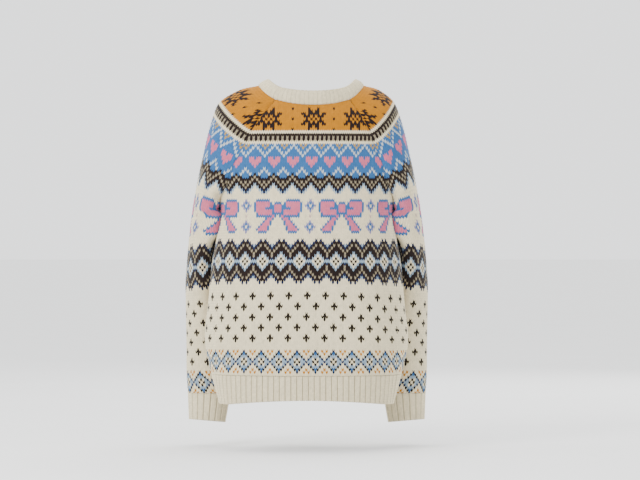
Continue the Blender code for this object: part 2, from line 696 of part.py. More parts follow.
def neckband_rows(seam):
    """Rows of the neckband from its seam to its top: it leans inwards and stands out a little."""
    rows = []
    middle_y = CAP_TABLE[0][CAP_COLUMN_NAMES.index("top_y")]
    for part, bulge in ((0.0, 0.0), (0.5, 1.0), (1.0, 0.0)):
        row = []
        for x, y, height in seam:
            sideways = min(abs(x) / NECK_HALF_WIDTH, 1.0)
            towards_middle = math.sqrt(1.0 - sideways ** 2)
            rise = NECKBAND_RISE_SIDE + (NECKBAND_RISE_CENTRE - NECKBAND_RISE_SIDE) * towards_middle
            narrowing = 1.0 + part * (NECKBAND_NARROWING - 1.0)
            beyond_band = max(abs(x) - BAND_HALF, 0.0)
            narrowed = math.copysign(abs(x) - beyond_band * (1.0 - narrowing), x)
            deepening = 1.0 + part * (NECKBAND_DEEPENING - 1.0)
            out = unit(np.array([x, y - middle_y, NECKBAND_UPTURN])) * NECKBAND_BULGE * bulge
            out[0] *= min(beyond_band / BAND_WIDTH, 1.0)
            point = np.array([narrowed, middle_y + (y - middle_y) * deepening, height + part * rise])
            row.append(point + out)
        rows.append(row)
    return np.array(rows)


def build_neckband(collection):
    seam = neck_seam()
    count = rib_count(distances(seam)[-1], NECK_RIB_PITCH)
    rows = neckband_rows(along_curve(seam, np.linspace(0.0, 1.0, count)))
    rib_wall(collection, "neckband", settled(rows), FINE_RIB_RISE, level=False, band_edges=(0, -1))


# ---------------------------------------------------------------- front bands and buttons
def front_line():
    """Middle line of the closed front, from the hem to the top of the neckband."""
    top = neck_height(BAND_HALF, NECK_FRONT_DROP)
    heights = np.linspace(HEM_HEIGHT, top, PATH_SAMPLES)
    body = np.array([[0.0, body_front_y(height), height] for height in heights])
    band = neckband_rows(np.array([[0.0, body[-1][1], body[-1][2]]]))[:, 0]
    return np.concatenate([body, band[1:] * np.array([0.0, 1.0, 1.0])])


def line_normals(line):
    """Forward-facing unit normals of the front line."""
    tangents = np.gradient(line, axis=0)
    normals = np.stack([np.zeros(len(line)), -tangents[:, 2], tangents[:, 1]], axis=1)
    return normals / np.linalg.norm(normals, axis=1, keepdims=True)


def band_grid(line, normals, offset):
    """A flat strip along the front line, seen from the front its columns run from left to right."""
    across = np.linspace(BAND_HALF - SEAM_GAP / 2, -BAND_HALF + SEAM_GAP / 2, 2 * BAND_RIBS + 1)
    return np.array([[point + normal * offset + np.array([x, 0.0, 0.0]) for x in across[::-1]]
                     for point, normal in zip(line, normals)])


def build_bands(collection):
    line = along_curve(front_line(), np.linspace(0.0, 1.0, BAND_ROWS + 1))
    normals = line_normals(line)
    relief = rib_relief(2 * BAND_RIBS + 1, FINE_RIB_RISE)[None, :, None]
    top_offset = SEAM_GAP + WALL
    for name, offset, rise in (("button_band", 0.0, 0.0), ("buttonhole_band", top_offset, 1.0)):
        face = band_grid(line, normals, offset)
        inner = band_grid(line, normals, offset - WALL)
        outer = face + relief * rise * normals[:, None, :]
        add_wall(collection, name, settled(outer), settled(inner), CREAM)
    return line, normals


def button_mesh():
    """A turned button: a flat back, a rounded rim and a dished middle."""
    mesh = bpy.data.meshes.new("button")
    outline = (
        (0.0, 0.0),
        (BUTTON_RADIUS - BUTTON_RIM / 2, 0.0),
        (BUTTON_RADIUS, BUTTON_THICKNESS / 2),
        (BUTTON_RADIUS - BUTTON_RIM / 3, BUTTON_THICKNESS),
        (BUTTON_RADIUS - BUTTON_RIM, BUTTON_THICKNESS),
        (BUTTON_RADIUS - BUTTON_RIM - BUTTON_DISH, BUTTON_THICKNESS - BUTTON_DISH),
        (0.0, BUTTON_THICKNESS - BUTTON_DISH),
    )
    solid = bmesh.new()
    corners = [solid.verts.new((radius, 0.0, height)) for radius, height in outline]
    edges = [solid.edges.new(pair) for pair in zip(corners, corners[1:])]
    bmesh.ops.spin(solid, geom=corners + edges, cent=(0.0, 0.0, 0.0), axis=(0.0, 0.0, 1.0),
                   angle=2 * math.pi, steps=BUTTON_SIDES, use_duplicate=False)
    bmesh.ops.remove_doubles(solid, verts=solid.verts[:], dist=1e-6)
    bmesh.ops.recalc_face_normals(solid, faces=solid.faces[:])
    solid.to_mesh(mesh)
    solid.free()
    for polygon in mesh.polygons:
        polygon.use_smooth = True
    mesh.set_sharp_from_angle(angle=math.radians(BUTTON_SHARP_ANGLE))
    return mesh


def build_buttons(collection, line, normals):
    """Buttons evenly spaced on the closed bands, each one square to the strip that it lies on."""
    reached = distances(line)
    places = np.linspace(BUTTON_END_DISTANCE, reached[-1] - BUTTON_END_DISTANCE, BUTTON_COUNT)
    lift = SEAM_GAP + WALL + FINE_RIB_RISE + BUTTON_CLEARANCE
    for number, place in enumerate(places, start=1):
        row = min(np.searchsorted(reached, place), len(line) - 1)
        part = (place - reached[row - 1]) / (reached[row] - reached[row - 1])
        centre = line[row - 1] + part * (line[row] - line[row - 1])
        normal = unit(normals[row - 1] + normals[row])
        button = add_object(collection, f"button_{number}", button_mesh(), BONE, BUTTON_ROUGHNESS)
        button.location = settled(centre + normal * lift)
        button.rotation_euler = (math.pi / 2 + math.asin(-normal[2]), 0.0, 0.0)


# ---------------------------------------------------------------- the whole cardigan
def main():
    for old in list(bpy.data.objects):
        bpy.data.objects.remove(old, do_unlink=True)
    collection = bpy.data.collections.new("fair_isle_cardigan")
    bpy.context.scene.collection.children.link(collection)
    build_knitted_pieces(collection)
    build_hem(collection)
    build_cuffs(collection)
    build_neckband(collection)
    line, normals = build_bands(collection)
    build_buttons(collection, line, normals)


main()
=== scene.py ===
"""Looks of the fair isle cardigan: knitted stitches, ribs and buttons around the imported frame.

Every knitted piece is a thin sheet on the form of the solid that it replaces.  A stitch is a small
V of two raised legs, and takes its yarn from a chart.  Rows are counted down from the neck seam at
centre back, and stitches are counted from the middle line of a piece.
"""

import math

import bmesh
import bpy
import numpy as np
from mathutils import Matrix, Vector


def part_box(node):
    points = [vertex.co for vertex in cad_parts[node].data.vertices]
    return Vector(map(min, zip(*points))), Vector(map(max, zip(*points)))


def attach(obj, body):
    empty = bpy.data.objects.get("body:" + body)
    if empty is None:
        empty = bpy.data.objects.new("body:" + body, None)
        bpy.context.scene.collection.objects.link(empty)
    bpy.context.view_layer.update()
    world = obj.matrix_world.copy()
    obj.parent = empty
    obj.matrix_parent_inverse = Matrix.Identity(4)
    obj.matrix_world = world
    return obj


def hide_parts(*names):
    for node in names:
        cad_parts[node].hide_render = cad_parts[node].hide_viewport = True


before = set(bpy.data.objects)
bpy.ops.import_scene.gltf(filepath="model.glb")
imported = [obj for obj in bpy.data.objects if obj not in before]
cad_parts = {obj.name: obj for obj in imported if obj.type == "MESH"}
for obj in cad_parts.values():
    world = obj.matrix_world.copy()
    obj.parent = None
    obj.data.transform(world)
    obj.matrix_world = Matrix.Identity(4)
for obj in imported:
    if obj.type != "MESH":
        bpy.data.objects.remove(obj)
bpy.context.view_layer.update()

# ---- sizes, as in the solids
ROUNDNESS = 2.25                # of a level section of the body; 2 would be an ellipse
HEM_HEIGHT = -0.6105
RIB_TOP_HEIGHT = -0.5545
UNDERARM_HEIGHT = -0.228
BACK_HALF_ARC = 0.193
NECK_HALF_WIDTH = 0.1008
NECK_SIDE_HEIGHT = -0.002
NECK_BACK_DROP = 0.0387
NECK_FRONT_DROP = 0.092
NECKBAND_NARROWING = 0.80
NECKBAND_DEEPENING = 0.90
NECKBAND_RISE_SIDE = 0.012
NECKBAND_RISE_CENTRE = 0.028
NECKBAND_BULGE = 0.0035
NECKBAND_TILT = 0.02            # the larger, the more the bulge points up
BAND_HALF = 0.015
BAND_WIDTH = 0.030
WALL = 0.003
SEAM_GAP = 0.0003
SEAM_TURN_HEIGHT = -0.192       # the raglan seams turn towards the side seams below this
UNDERARM_SPREAD = 0.30          # how far the sleeve first runs outwards under the arm
SPREAD_END = 0.25               # station of the sleeve where that has died out
CAP_STEP = 0.004                # the cap follows the body's slope over this distance at its seam
CAP_STEEPNESS = 0.9
PATH_SAMPLES = 160
TUBE_ROWS = 11
YOKE_ROWS = 9
SLEEVE_COLUMNS = 20
COURSE_CROWDING = 1.35          # crowds the cap's rows towards the underarm
EASED_ROWS = 4                  # rows either side of the underarm that are eased
EASED_FROM = 3                  # columns from the seams over which the easing grows to its full
EASING_PASSES = 8

# ---- knitting gauge
STITCH_WIDTH = 0.0044
ROW_HEIGHT = 0.004988
NECK_HEIGHT = NECK_SIDE_HEIGHT - NECK_BACK_DROP     # row 0 starts here at centre back
FIRST_ROW = -3                  # the neck seam is higher beside the shoulders
BODY_LAST_ROW = 103
UNDERARM_ROW = (NECK_HEIGHT - UNDERARM_HEIGHT) / ROW_HEIGHT
SLEEVE_TUBE_ROWS = 73
BACK_STITCHES = 89              # one on the middle line and 44 to each side
SHEAR = 3                       # eighths of a row that the middle of a V hangs below its sides
LEG_RISE = 0.0013               # height of a stitch's legs above the cloth
LEG_END_SHARE = 0.55            # share of that height at the ends of a leg
SEAM_DIP = 0.0012               # cloth sinks by this much towards a seam
SEAM_DIP_WIDTH = 0.0030
CRUSHED_AREA = 2e-9             # faces smaller than this lie past a seam and are left out

SLEEVE_HALF_STITCHES = 42       # enough to reach both seams where the sleeve is widest
NET_STEPS = 12                  # fine rows to each row of the sleeve's net
EVEN_ROWS = 10.0                # rows over which the sleeve's stitches share their stretch
EVEN_SHARE = 0.30               # part of the way from seam to top line before they share it fully
LAP = 0.017                     # the sleeve's slack cloth comes this far over the body's side
LAP_HEIGHTS = (-0.318, -0.280, -0.252, -0.236)  # where it starts, is full, is still full and ends
LAP_SIDES = (0.186, 0.222)      # full inside the first distance from the middle, none past the other
LAP_DEPTHS = (-0.012, 0.028)    # none in front of the first, full behind the other

# ---- the worn form, as in the solids
BODY_TABLE = (
    ("height", "half_width", "back_depth", "front_depth"),
    (-0.6105, 0.1665, 0.1010, 0.1030),
    (-0.5890, 0.1725, 0.1040, 0.1060),
    (-0.5545, 0.1815, 0.1100, 0.1120),
    (-0.5300, 0.1870, 0.1150, 0.1170),
    (-0.4935, 0.1940, 0.1180, 0.1200),
    (-0.4530, 0.1930, 0.1170, 0.1200),
    (-0.4166, 0.1885, 0.1150, 0.1190),
    (-0.3780, 0.1848, 0.1130, 0.1190),
    (-0.3360, 0.1800, 0.1120, 0.1200),
    (-0.2920, 0.1720, 0.1110, 0.1200),
    (-0.2600, 0.1695, 0.1105, 0.1200),
    (-0.2280, 0.1710, 0.1100, 0.1180),
    (-0.2200, 0.1740, 0.1095, 0.1170),
    (-0.2054, 0.1820, 0.1085, 0.1150),
    (-0.1824, 0.1950, 0.1065, 0.1100),
    (-0.1574, 0.2010, 0.1030, 0.1040),
    (-0.1260, 0.1958, 0.0970, 0.0940),
    (-0.0883, 0.1868, 0.0865, 0.0760),
    (-0.0653, 0.1795, 0.0780, 0.0590),
    (-0.0407, 0.1710, 0.0605, 0.0440),
    (-0.0296, 0.1630, 0.0510, 0.0360),
)

RAGLAN_TABLE = (
    ("height", "back_x", "front_x"),
    (-0.2200, 0.1610, 0.1610),
    (-0.2054, 0.1560, 0.1565),
    (-0.1824, 0.1494, 0.1500),
    (-0.1574, 0.1423, 0.1425),
    (-0.1260, 0.1275, 0.1290),
    (-0.0883, 0.1110, 0.1110),
    (-0.0653, 0.0970, 0.0965),
    (-0.0520, 0.0875, 0.0850),
    (-0.0296, 0.0705, 0.0700),
)

CAP_TABLE = (
    ("course", "back_height", "front_height", "top_x", "top_y", "top_height",
     "bulge", "back_reach", "front_reach", "top_reach"),
    (0.00, -0.0296, -0.0520, 0.1008, -0.0040, -0.0020, 0.00, 0.020, 0.020, 0.020),
    (0.14, -0.0620, -0.0780, 0.1340, -0.0050, -0.0105, 0.00, 0.033, 0.032, 0.033),
    (0.28, -0.0922, -0.1030, 0.1665, -0.0060, -0.0335, 0.03, 0.042, 0.042, 0.042),
    (0.45, -0.1240, -0.1310, 0.1815, -0.0070, -0.0700, 0.12, 0.045, 0.047, 0.047),
    (0.62, -0.1560, -0.1600, 0.1927, -0.0080, -0.1120, 0.28, 0.044, 0.050, 0.052),
    (0.80, -0.1920, -0.1940, 0.2030, -0.0090, -0.1570, 0.62, 0.044, 0.056, 0.062),
    (0.90, -0.2100, -0.2110, 0.2063, -0.0095, -0.1735, 0.85, 0.046, 0.092, 0.080),
    (0.95, -0.2190, -0.2195, 0.2079, -0.0097, -0.1817, 0.93, 0.052, 0.130, 0.090),
    (1.00, -0.2280, -0.2280, 0.2095, -0.0100, -0.1900, 1.00, 0.062, 0.172, 0.104),
)

TUBE_TABLE = (
    ("station", "outer_x", "outer_y", "outer_height", "inner_x", "inner_y",
     "inner_height", "back_reach", "front_reach", "top_reach", "slant"),
    (0.00, 0.2095, -0.010, -0.190, 0.1645, 0.0340, -0.2280, 0.062, 0.172, 0.104, 0.0),
    (0.05, 0.2155, -0.018, -0.211, 0.1732, 0.0220, -0.2400, 0.074, 0.152, 0.099, 3.0),
    (0.12, 0.2220, -0.032, -0.240, 0.1745, -0.010, -0.2620, 0.084, 0.121, 0.092, 7.0),
    (0.20, 0.2272, -0.047, -0.271, 0.1745, -0.035, -0.2900, 0.083, 0.102, 0.090, 11.0),
    (0.30, 0.2312, -0.066, -0.312, 0.1760, -0.066, -0.3280, 0.088, 0.085, 0.086, 15.0),
    (0.43, 0.2345, -0.088, -0.366, 0.1690, -0.088, -0.3740, 0.083, 0.080, 0.081, 17.0),
    (0.59, 0.2352, -0.109, -0.430, 0.1550, -0.109, -0.4330, 0.073, 0.073, 0.073, 13.0),
    (0.76, 0.2345, -0.121, -0.500, 0.1420, -0.121, -0.5000, 0.067, 0.067, 0.067, 5.0),
    (0.92, 0.2340, -0.122, -0.565, 0.1430, -0.122, -0.5650, 0.059, 0.059, 0.059, -2.0),
    (1.00, 0.2318, -0.120, -0.597, 0.1500, -0.120, -0.5980, 0.048, 0.048, 0.048, -3.0),
)
# the sleeve's row at the end of the cuff
CUFF_END = (1.15, 0.2297, -0.117, -0.6480, 0.1600, -0.117, -0.6540, 0.041, 0.041, 0.041, -3.0)

# Knit rows hang lower over the outside of the arm than at the seams, by so many rows.
ARM_DROP_TABLE = (
    ("row", "drop"),
    (8.0, 0.0),
    (15.0, -0.4),
    (21.0, 0.3),
    (26.5, 2.2),
    (33.5, 3.6),
    (36.0, 4.1),
    (42.0, 5.4),
    (49.0, 6.9),
    (52.0, 7.2),
    (60.5, 7.2),
    (69.0, 6.6),
    (74.0, 5.5),
    (86.0, 3.2),
    (98.0, 1.1),
    (106.5, 0.0),
)

LEAN_TABLE = (
    ("height", "shift"),
    (-0.4500, 0.0000),
    (-0.3500, -0.0040),
    (-0.2500, -0.0075),
    (-0.1500, -0.0100),
    (-0.0900, -0.0135),
    (0.0300, -0.0135),
)
LEAN_HALF_WIDTH = 0.17

# angle round the body from centre back, width, depth, lowest and highest height
FOLD_TABLE = (
    (24.0, 16.0, -0.0045, -0.62, -0.40),
    (8.0, 12.0, 0.0030, -0.62, -0.42),
    (-13.0, 14.0, -0.0045, -0.62, -0.38),
    (-34.0, 16.0, 0.0030, -0.62, -0.36),
    (62.0, 18.0, -0.0040, -0.58, -0.27),
    (-64.0, 18.0, -0.0040, -0.58, -0.27),
    (138.0, 20.0, -0.0050, -0.60, -0.25),
    (-140.0, 20.0, -0.0045, -0.60, -0.28),
    (158.0, 14.0, 0.0025, -0.60, -0.36),
    (-160.0, 14.0, 0.0025, -0.60, -0.32),
)
FOLD_HALF_WIDTH = 0.19
FOLD_HALF_DEPTH = 0.115
SAG_LEFT = 0.005                # how far the rows sag at the sides, above the hem
SAG_RIGHT = 0.010
SAG_HEIGHTS = (-0.556, -0.300)
HEM_RISE = 0.009                # how far the hem is drawn up at the middle of the back
HEM_RISE_HALF_WIDTH = 0.150

# ---- yarns (linear colours)
YARNS = {
    ".": (0.820, 0.715, 0.480),     # cream
    "y": (0.470, 0.178, 0.000),     # mustard yellow
    "k": (0.012, 0.005, 0.004),     # brown black
    "d": (0.016, 0.011, 0.006),     # dark olive of the small crosses
    "b": (0.034, 0.130, 0.320),     # mid blue
    "f": (0.380, 0.315, 0.205),     # cream flecks, crowded by the dark yarn round them
    "w": (0.500, 0.540, 0.540),     # cool white on the blue
    "g": (0.420, 0.270, 0.060),     # mustard of the small triangles
    "p": (0.600, 0.145, 0.235),     # pink
    "q": (0.540, 0.400, 0.340),     # pale pink
    "n": (0.010, 0.018, 0.060),     # navy
    "l": (0.270, 0.370, 0.470),     # light blue
    "v": (0.230, 0.210, 0.390),     # lavender
}
DYE_UNEVENNESS = 0.035          # spread of a stitch's dye about its yarn's colour
LEG_SHADES = (0.62, 1.06, 0.58, 1.06, 0.62)     # light across a stitch, from side to side
END_SHADE = 0.94                # and at its top and bottom
CROWDED_YARN = "f"              # the same for flecks between dark stitches
CROWDED_SHADES = (0.12, 1.00, 0.70, 1.00, 0.12)
CROWDED_END_SHADE = 0.40
VALLEY_SHADE = 0.30             # light lost at the bottom of a rib's purl valley

# ---- charts, counted one by one
# Every chart is mirrored and gives one half, from its middle stitch outwards.  The first ones
# repeat every eight stitches: their first stitch lies on the middle line of a piece, and their
# fifth is the middle of a diamond.  Each starts at the row named beside it.
def mirrored(top, middle):
    """Rows of a chart that reads the same from below."""
    return top + (middle,) + top[::-1]


HALF_REPEAT = 4
COMB_ROW = 10
COMB_CHART = (
    ".....",
    "kkkkk",
    "kfkfk",
    "kfkfk",
    ".....",
)
HEART_ROW = 15
HEART_CHART = (
    "wbbgb",
    "bwbbg",
    "bbwbb",
    "bbbwb",
    "bbbbw",
    "bppbb",
    "pppbb",
    "ppbbb",
    "pbbbb",
    "bbbbw",
    "bbbwb",
    "kbwbb",
    "fkkbb",
    "kfkkk",
    "kkfkf",
    "lkkfk",
    ".lkkf",
    "..lnk",
    "...ln",
)
DIAMOND_TOP = (
    "...n.",
    "..nkk",
    "lnkfk",
    "nkfkk",
    "kfkkk",
    "fkkkl",
    "fkkl.",
    "nkl.k",
)
DIAMOND_CHART = mirrored(DIAMOND_TOP, "ll.k.")
LOW_DIAMOND_TOP = (
    ".y..n",
    "y..kb",
    "..kll",
    ".nl.k",
)
LOW_DIAMOND_CHART = mirrored(LOW_DIAMOND_TOP, "nllk.")

# The yoke's star, and the dots between two stars.
STAR_ROW = 1
STAR_CHART = mirrored(("yykyyy", "ykkyyy", "kkkykk", "kykkky"), "ykykyy")
DOT_ROWS = (1, 5, 9)

# A plain ribbon bow, and the small flower between two bows.
BOW_REPEAT = 28
BOW_CHART = (
    "....bbbbbb.",
    "bb.bppppppb",
    "ppbbppppppb",
    "ppbbbbppppb",
    "ppbpppppppb",
    "bbbppppppb.",
    ".bpbbbbbbb.",
    "..bppb.....",
    "...bppb....",
    "...bpppb...",
    "....bpppb..",
    "....bppppb.",
    ".....bbbb..",
)
FLOWER_CHART = mirrored(("v..", "bv."), ".bv")
FLOWER_SPACING = 8              # rows from the upper flower to the lower one

# Rows where the lower bands of each piece start; the crosses are given by their middle rows.
# Stars and bows are counted from a stitch so many towards the back from the middle line.
BODY_LAYOUT = {"bow": 36, "diamond": 51, "crosses": (72, 76, 80, 84, 88), "low_diamond": 93,
               "star_from": 0, "star_repeat": 19, "bow_from": 0}
SLEEVE_LAYOUT = {"bow": 36, "diamond": 52, "crosses": (74, 78, 82, 86, 90, 94, 98),
                 "low_diamond": 102, "star_from": 7, "star_repeat": 18, "bow_from": BOW_REPEAT // 2}

# ---- ribs
HEM_RIB_PITCH = 0.0110
NECK_RIB_PITCH = 0.0085
CUFF_RIBS = 18
BAND_STITCHES = 7
HEM_RIB_ROWS = 11
CUFF_RIB_ROWS = 10
NECKBAND_ROWS = 6
RIB_DEPTH = 0.0020              # how far the purl valley lies below the knit ridge
NECK_RIB_DEPTH = 0.0008
BAND_RIDGE_DEPTH = 0.0010
RIDGE_SHARE = 0.38              # share of a rib that each of its two knit stitches takes

# ---- camera, as the photograph
PIXEL = 0.00192                 # metres to a pixel of the photograph at the object
PHOTO_MIDDLE_X = 306.5          # pixel column of the object's middle
PHOTO_SHOULDER_Y = 85.0         # pixel row of the object's origin
IMAGE_WIDTH = 640
IMAGE_HEIGHT = 480
FOCAL_LENGTH = 180.0
SENSOR_WIDTH = 36.0
CAMERA_REACH = 200.0
FLOOR_HEIGHT = -0.70
FLOOR_RADIUS = 60.0
LIGHT_AIM = (0.0, 0.0, -0.3)
WORLD_COLOUR = (0.95, 0.96, 0.97, 1.0)
WORLD_STRENGTH = 2.0

random = np.random.default_rng(11)


# ---- reading tables and curves
def smooth_value(keys, column, at):
    """Value at a key, smoothly between the given ones."""
    slopes = np.gradient(column, keys)
    at = np.clip(at, keys[0], keys[-1])
    row = np.clip(np.searchsorted(keys, at) - 1, 0, len(keys) - 2)
    span = keys[row + 1] - keys[row]
    part = (at - keys[row]) / span
    rise = (1 + 2 * part) * (1 - part) ** 2 * column[row] + part ** 2 * (3 - 2 * part) * column[row + 1]
    bend = part * (1 - part) ** 2 * slopes[row] - part ** 2 * (1 - part) * slopes[row + 1]
    return rise + bend * span


def read_table(table, name, at):
    """Value of a named column of a table; its first column is the key."""
    values = np.array(table[1:])
    return smooth_value(values[:, 0], values[:, table[0].index(name)], at)


def distances(points):
    steps = np.linalg.norm(np.diff(points, axis=0), axis=1)
    return np.concatenate([[0.0], np.cumsum(steps)])


def at_distances(points, reached, wanted):
    return np.stack([np.interp(wanted, reached, points[:, axis]) for axis in range(3)], axis=1)


def along_curve(points, fractions):
    reached = distances(points)
    return at_distances(points, reached, np.asarray(fractions) * reached[-1])


def unit(vector):
    return vector / np.linalg.norm(vector)


# ---- body form
def body_value(name, height):
    return read_table(BODY_TABLE, name, height)


def body_section(height):
    """Left half of the level section at a height, from centre back to centre front."""
    half_width = body_value("half_width", height)
    quarter = np.linspace(0.0, math.pi / 2, PATH_SAMPLES)
    x = half_width * np.sin(quarter) ** (2 / ROUNDNESS)
    unit_y = np.cos(quarter) ** (2 / ROUNDNESS)
    unit_y[-1] = 0.0
    back = np.stack([x, body_value("back_depth", height) * unit_y, np.full_like(x, height)], axis=1)
    front = np.stack([x, -body_value("front_depth", height) * unit_y, np.full_like(x, height)], axis=1)
    return np.concatenate([back, front[-2::-1]])


def measured_section(height):
    section = body_section(height)
    return section, distances(section)


def raglan_arc(height, which):
    """Distance from centre back to a raglan seam, along the section at a height."""
    section, reached = measured_section(height)
    seam_x = read_table(RAGLAN_TABLE, which + "_x", height)
    if which == "back":
        return np.interp(seam_x, section[:PATH_SAMPLES, 0], reached[:PATH_SAMPLES])
    return np.interp(-seam_x, -section[PATH_SAMPLES - 1:, 0], reached[PATH_SAMPLES - 1:])


def seam_arc(height, which):
    """Distance from centre back to the edge of the back or front panel at a height."""
    if height <= UNDERARM_HEIGHT:
        return BACK_HALF_ARC
    if height >= SEAM_TURN_HEIGHT:
        return raglan_arc(height, which)
    below = (SEAM_TURN_HEIGHT - height) / (SEAM_TURN_HEIGHT - UNDERARM_HEIGHT)
    straight = raglan_arc(max(height, RAGLAN_TABLE[1][0]), which)
    return straight + below ** 2 * (BACK_HALF_ARC - straight)


def body_point(height, arc):
    return at_distances(*measured_section(height), [arc])[0]


def neck_height(x, drop):
    part = np.minimum(np.abs(x) / NECK_HALF_WIDTH, 1.0)
    return NECK_SIDE_HEIGHT - drop * np.sqrt(1.0 - part * part)


# ---- sleeve form
SIDES = {"back": 1.0, "front": -1.0}


def bezier(start, start_handle, end_handle, end):
    t = np.linspace(0.0, 1.0, PATH_SAMPLES)[:, None]
    near = (1 - t) ** 3 * start + 3 * (1 - t) ** 2 * t * (start + start_handle)
    far = 3 * (1 - t) * t ** 2 * (end + end_handle) + t ** 3 * end
    return near + far


def arm_arc(which, seam, top, seam_handle, top_reach, slant):
    """Half of a row round the arm, between two points, leaving each by its own handle."""
    side = SIDES[which]
    round_arm = np.array([0.0, side * math.cos(slant), -side * math.sin(slant)])
    return bezier(seam, seam_handle, round_arm * top_reach, top)


def cap_arc(which, course):
    """Half of a sleeve-cap row, from the raglan seam to the top of the arm."""
    def value(name):
        return float(read_table(CAP_TABLE, name, course))
    height = value(which + "_height")
    arc = seam_arc(height, which)
    seam = body_point(height, arc)
    side = SIDES[which]
    inside = body_point(height, arc - side * CAP_STEP)
    top = np.array([value("top_x"), value("top_y"), value("top_height")])
    smooth = unit(unit(seam - inside) + np.array([0.0, 0.0, CAP_STEEPNESS]) * unit(top - seam)[2])
    bulge = value("bulge")
    direction = unit((1 - bulge) * smooth + bulge * np.array([UNDERARM_SPREAD, side, 0.0]))
    return arm_arc(which, seam, top, direction * value(which + "_reach"), value("top_reach"), 0.0)


def tube_arc(which, values):
    """Half of a sleeve ring, from the underarm seam to the outside of the arm."""
    row = dict(zip(TUBE_TABLE[0], values))
    inner = np.array([row["inner_x"], row["inner_y"], row["inner_height"]])
    outer = np.array([row["outer_x"], row["outer_y"], row["outer_height"]])
    side = SIDES[which]
    slant = math.radians(row["slant"])
    near = max(1.0 - row["station"] / SPREAD_END, 0.0)
    direction = np.array([UNDERARM_SPREAD * near, side * math.cos(slant), -side * math.sin(slant)])
    return arm_arc(which, inner, outer, direction * row[which + "_reach"], row["top_reach"], slant)


def tube_values(station):
    """The columns of the tube's table at a station between its rows."""
    return [float(read_table(TUBE_TABLE, name, station)) for name in TUBE_TABLE[0]]


def sleeve_row(back_arc, front_arc, columns):
    fractions = np.linspace(0.0, 1.0, columns // 2 + 1)
    back = along_curve(back_arc, fractions)
    front = along_curve(front_arc, fractions)
    return np.concatenate([back, front[-2::-1]])


def cap_row(course, columns):
    return sleeve_row(cap_arc("back", course), cap_arc("front", course), columns)


def tube_row(values, columns):
    return sleeve_row(tube_arc("back", values), tube_arc("front", values), columns)


def sleeve_net():
    """Rows of points of the left sleeve from the neck down to the cuff, and the knit row of each."""
    rows = []
    knit_rows = []
    for station in np.linspace(1.0, 0.0, TUBE_ROWS + 1)[:-1]:
        rows.append(tube_row(tube_values(station), SLEEVE_COLUMNS))
        knit_rows.append(UNDERARM_ROW + SLEEVE_TUBE_ROWS * station)
    for course in 1.0 - np.linspace(0.0, 1.0, YOKE_ROWS + 1) ** COURSE_CROWDING:
        rows.append(cap_row(course, SLEEVE_COLUMNS))
        height = read_table(CAP_TABLE, "back_height", course)
        knit_rows.append((NECK_HEIGHT - height) / ROW_HEIGHT)
    return eased(np.array(rows))[::-1], np.array(knit_rows)[::-1]


def eased(grid):
    """Ease the sleeve's rows into each other either side of the underarm, away from the seams."""
    column = np.arange(grid.shape[1])
    from_edge = np.minimum(column, column[::-1])
    row_share = np.zeros(len(grid))
    row_share[TUBE_ROWS - EASED_ROWS:TUBE_ROWS + EASED_ROWS + 1] = 1.0
    share = row_share[:, None] * np.clip((from_edge - 1) / EASED_FROM, 0.0, 1.0)[None, :]
    for _ in range(EASING_PASSES):
        middle = (grid[:-2] + grid[2:]) / 2
        grid[1:-1] += 0.5 * share[1:-1, :, None] * (middle - grid[1:-1])
    return grid


# ---- settling
def settled(points):
    """Points moved by the lean of the yoke to the wearer's right."""
    moved = np.array(points, dtype=float)
    middle = np.clip(1.0 - (moved[..., 0] / LEAN_HALF_WIDTH) ** 2, 0.0, 1.0)
    moved[..., 0] += middle * read_table(LEAN_TABLE, "shift", moved[..., 2])
    return moved


def folded(points):
    """Body points moved in or out by the hanging folds, and down by the sag at the sides."""
    moved = np.array(points, dtype=float)
    x, y, height = moved[..., 0], moved[..., 1], moved[..., 2]
    angle = np.degrees(np.arctan2(x / FOLD_HALF_WIDTH, y / FOLD_HALF_DEPTH))
    relief = np.zeros_like(x)
    for centre, width, depth, low, high in FOLD_TABLE:
        upward = np.clip((height - low) / (high - low), 0.0, 1.0)
        relief += depth * np.exp(-((angle - centre) / width) ** 2) * np.sin(np.pi * upward) ** 2
    outward = np.stack([x / FOLD_HALF_WIDTH ** 2, y / FOLD_HALF_DEPTH ** 2], axis=-1)
    outward /= np.maximum(np.linalg.norm(outward, axis=-1, keepdims=True), 1e-9)
    moved[..., :2] += relief[..., None] * outward
    upward = np.clip((height - SAG_HEIGHTS[0]) / (SAG_HEIGHTS[1] - SAG_HEIGHTS[0]), 0.0, 1.0)
    sag = np.where(x > 0.0, SAG_LEFT, SAG_RIGHT) * (x / FOLD_HALF_WIDTH) ** 2
    moved[..., 2] -= sag * np.sin(np.pi * upward) ** 2
    return moved


# ---- where stitches lie
# Each of these gives the points of rows and columns of stitches, and their distance from a seam.
def row_height(row):
    return NECK_HEIGHT - row * ROW_HEIGHT


def front_row_height(row):
    """Height of a knit row of the fronts, which meets the same row of the sleeve at its seam."""
    height = row_height(row)
    if height <= UNDERARM_HEIGHT:
        return height
    courses = np.linspace(0.0, 1.0, PATH_SAMPLES)
    back = read_table(CAP_TABLE, "back_height", courses)
    front = read_table(CAP_TABLE, "front_height", courses)
    return float(np.interp(-height, -back, front))


def cut_at_neck(points, drop):
    """Bring the points that lie above the neck seam down to it, along their columns."""
    above = points[..., 2] - neck_height(points[..., 0], drop)
    for column in range(points.shape[1]):
        crossed = np.nonzero(above[:, column] <= 0.0)[0]
        first = crossed[0] if len(crossed) else points.shape[0] - 1
        if first == 0:
            continue
        over, under = above[first - 1, column], above[first, column]
        part = over / (over - under) if over > under else 1.0
        meeting = points[first - 1, column] + part * (points[first, column] - points[first - 1, column])
        points[:first, column] = meeting
    return points


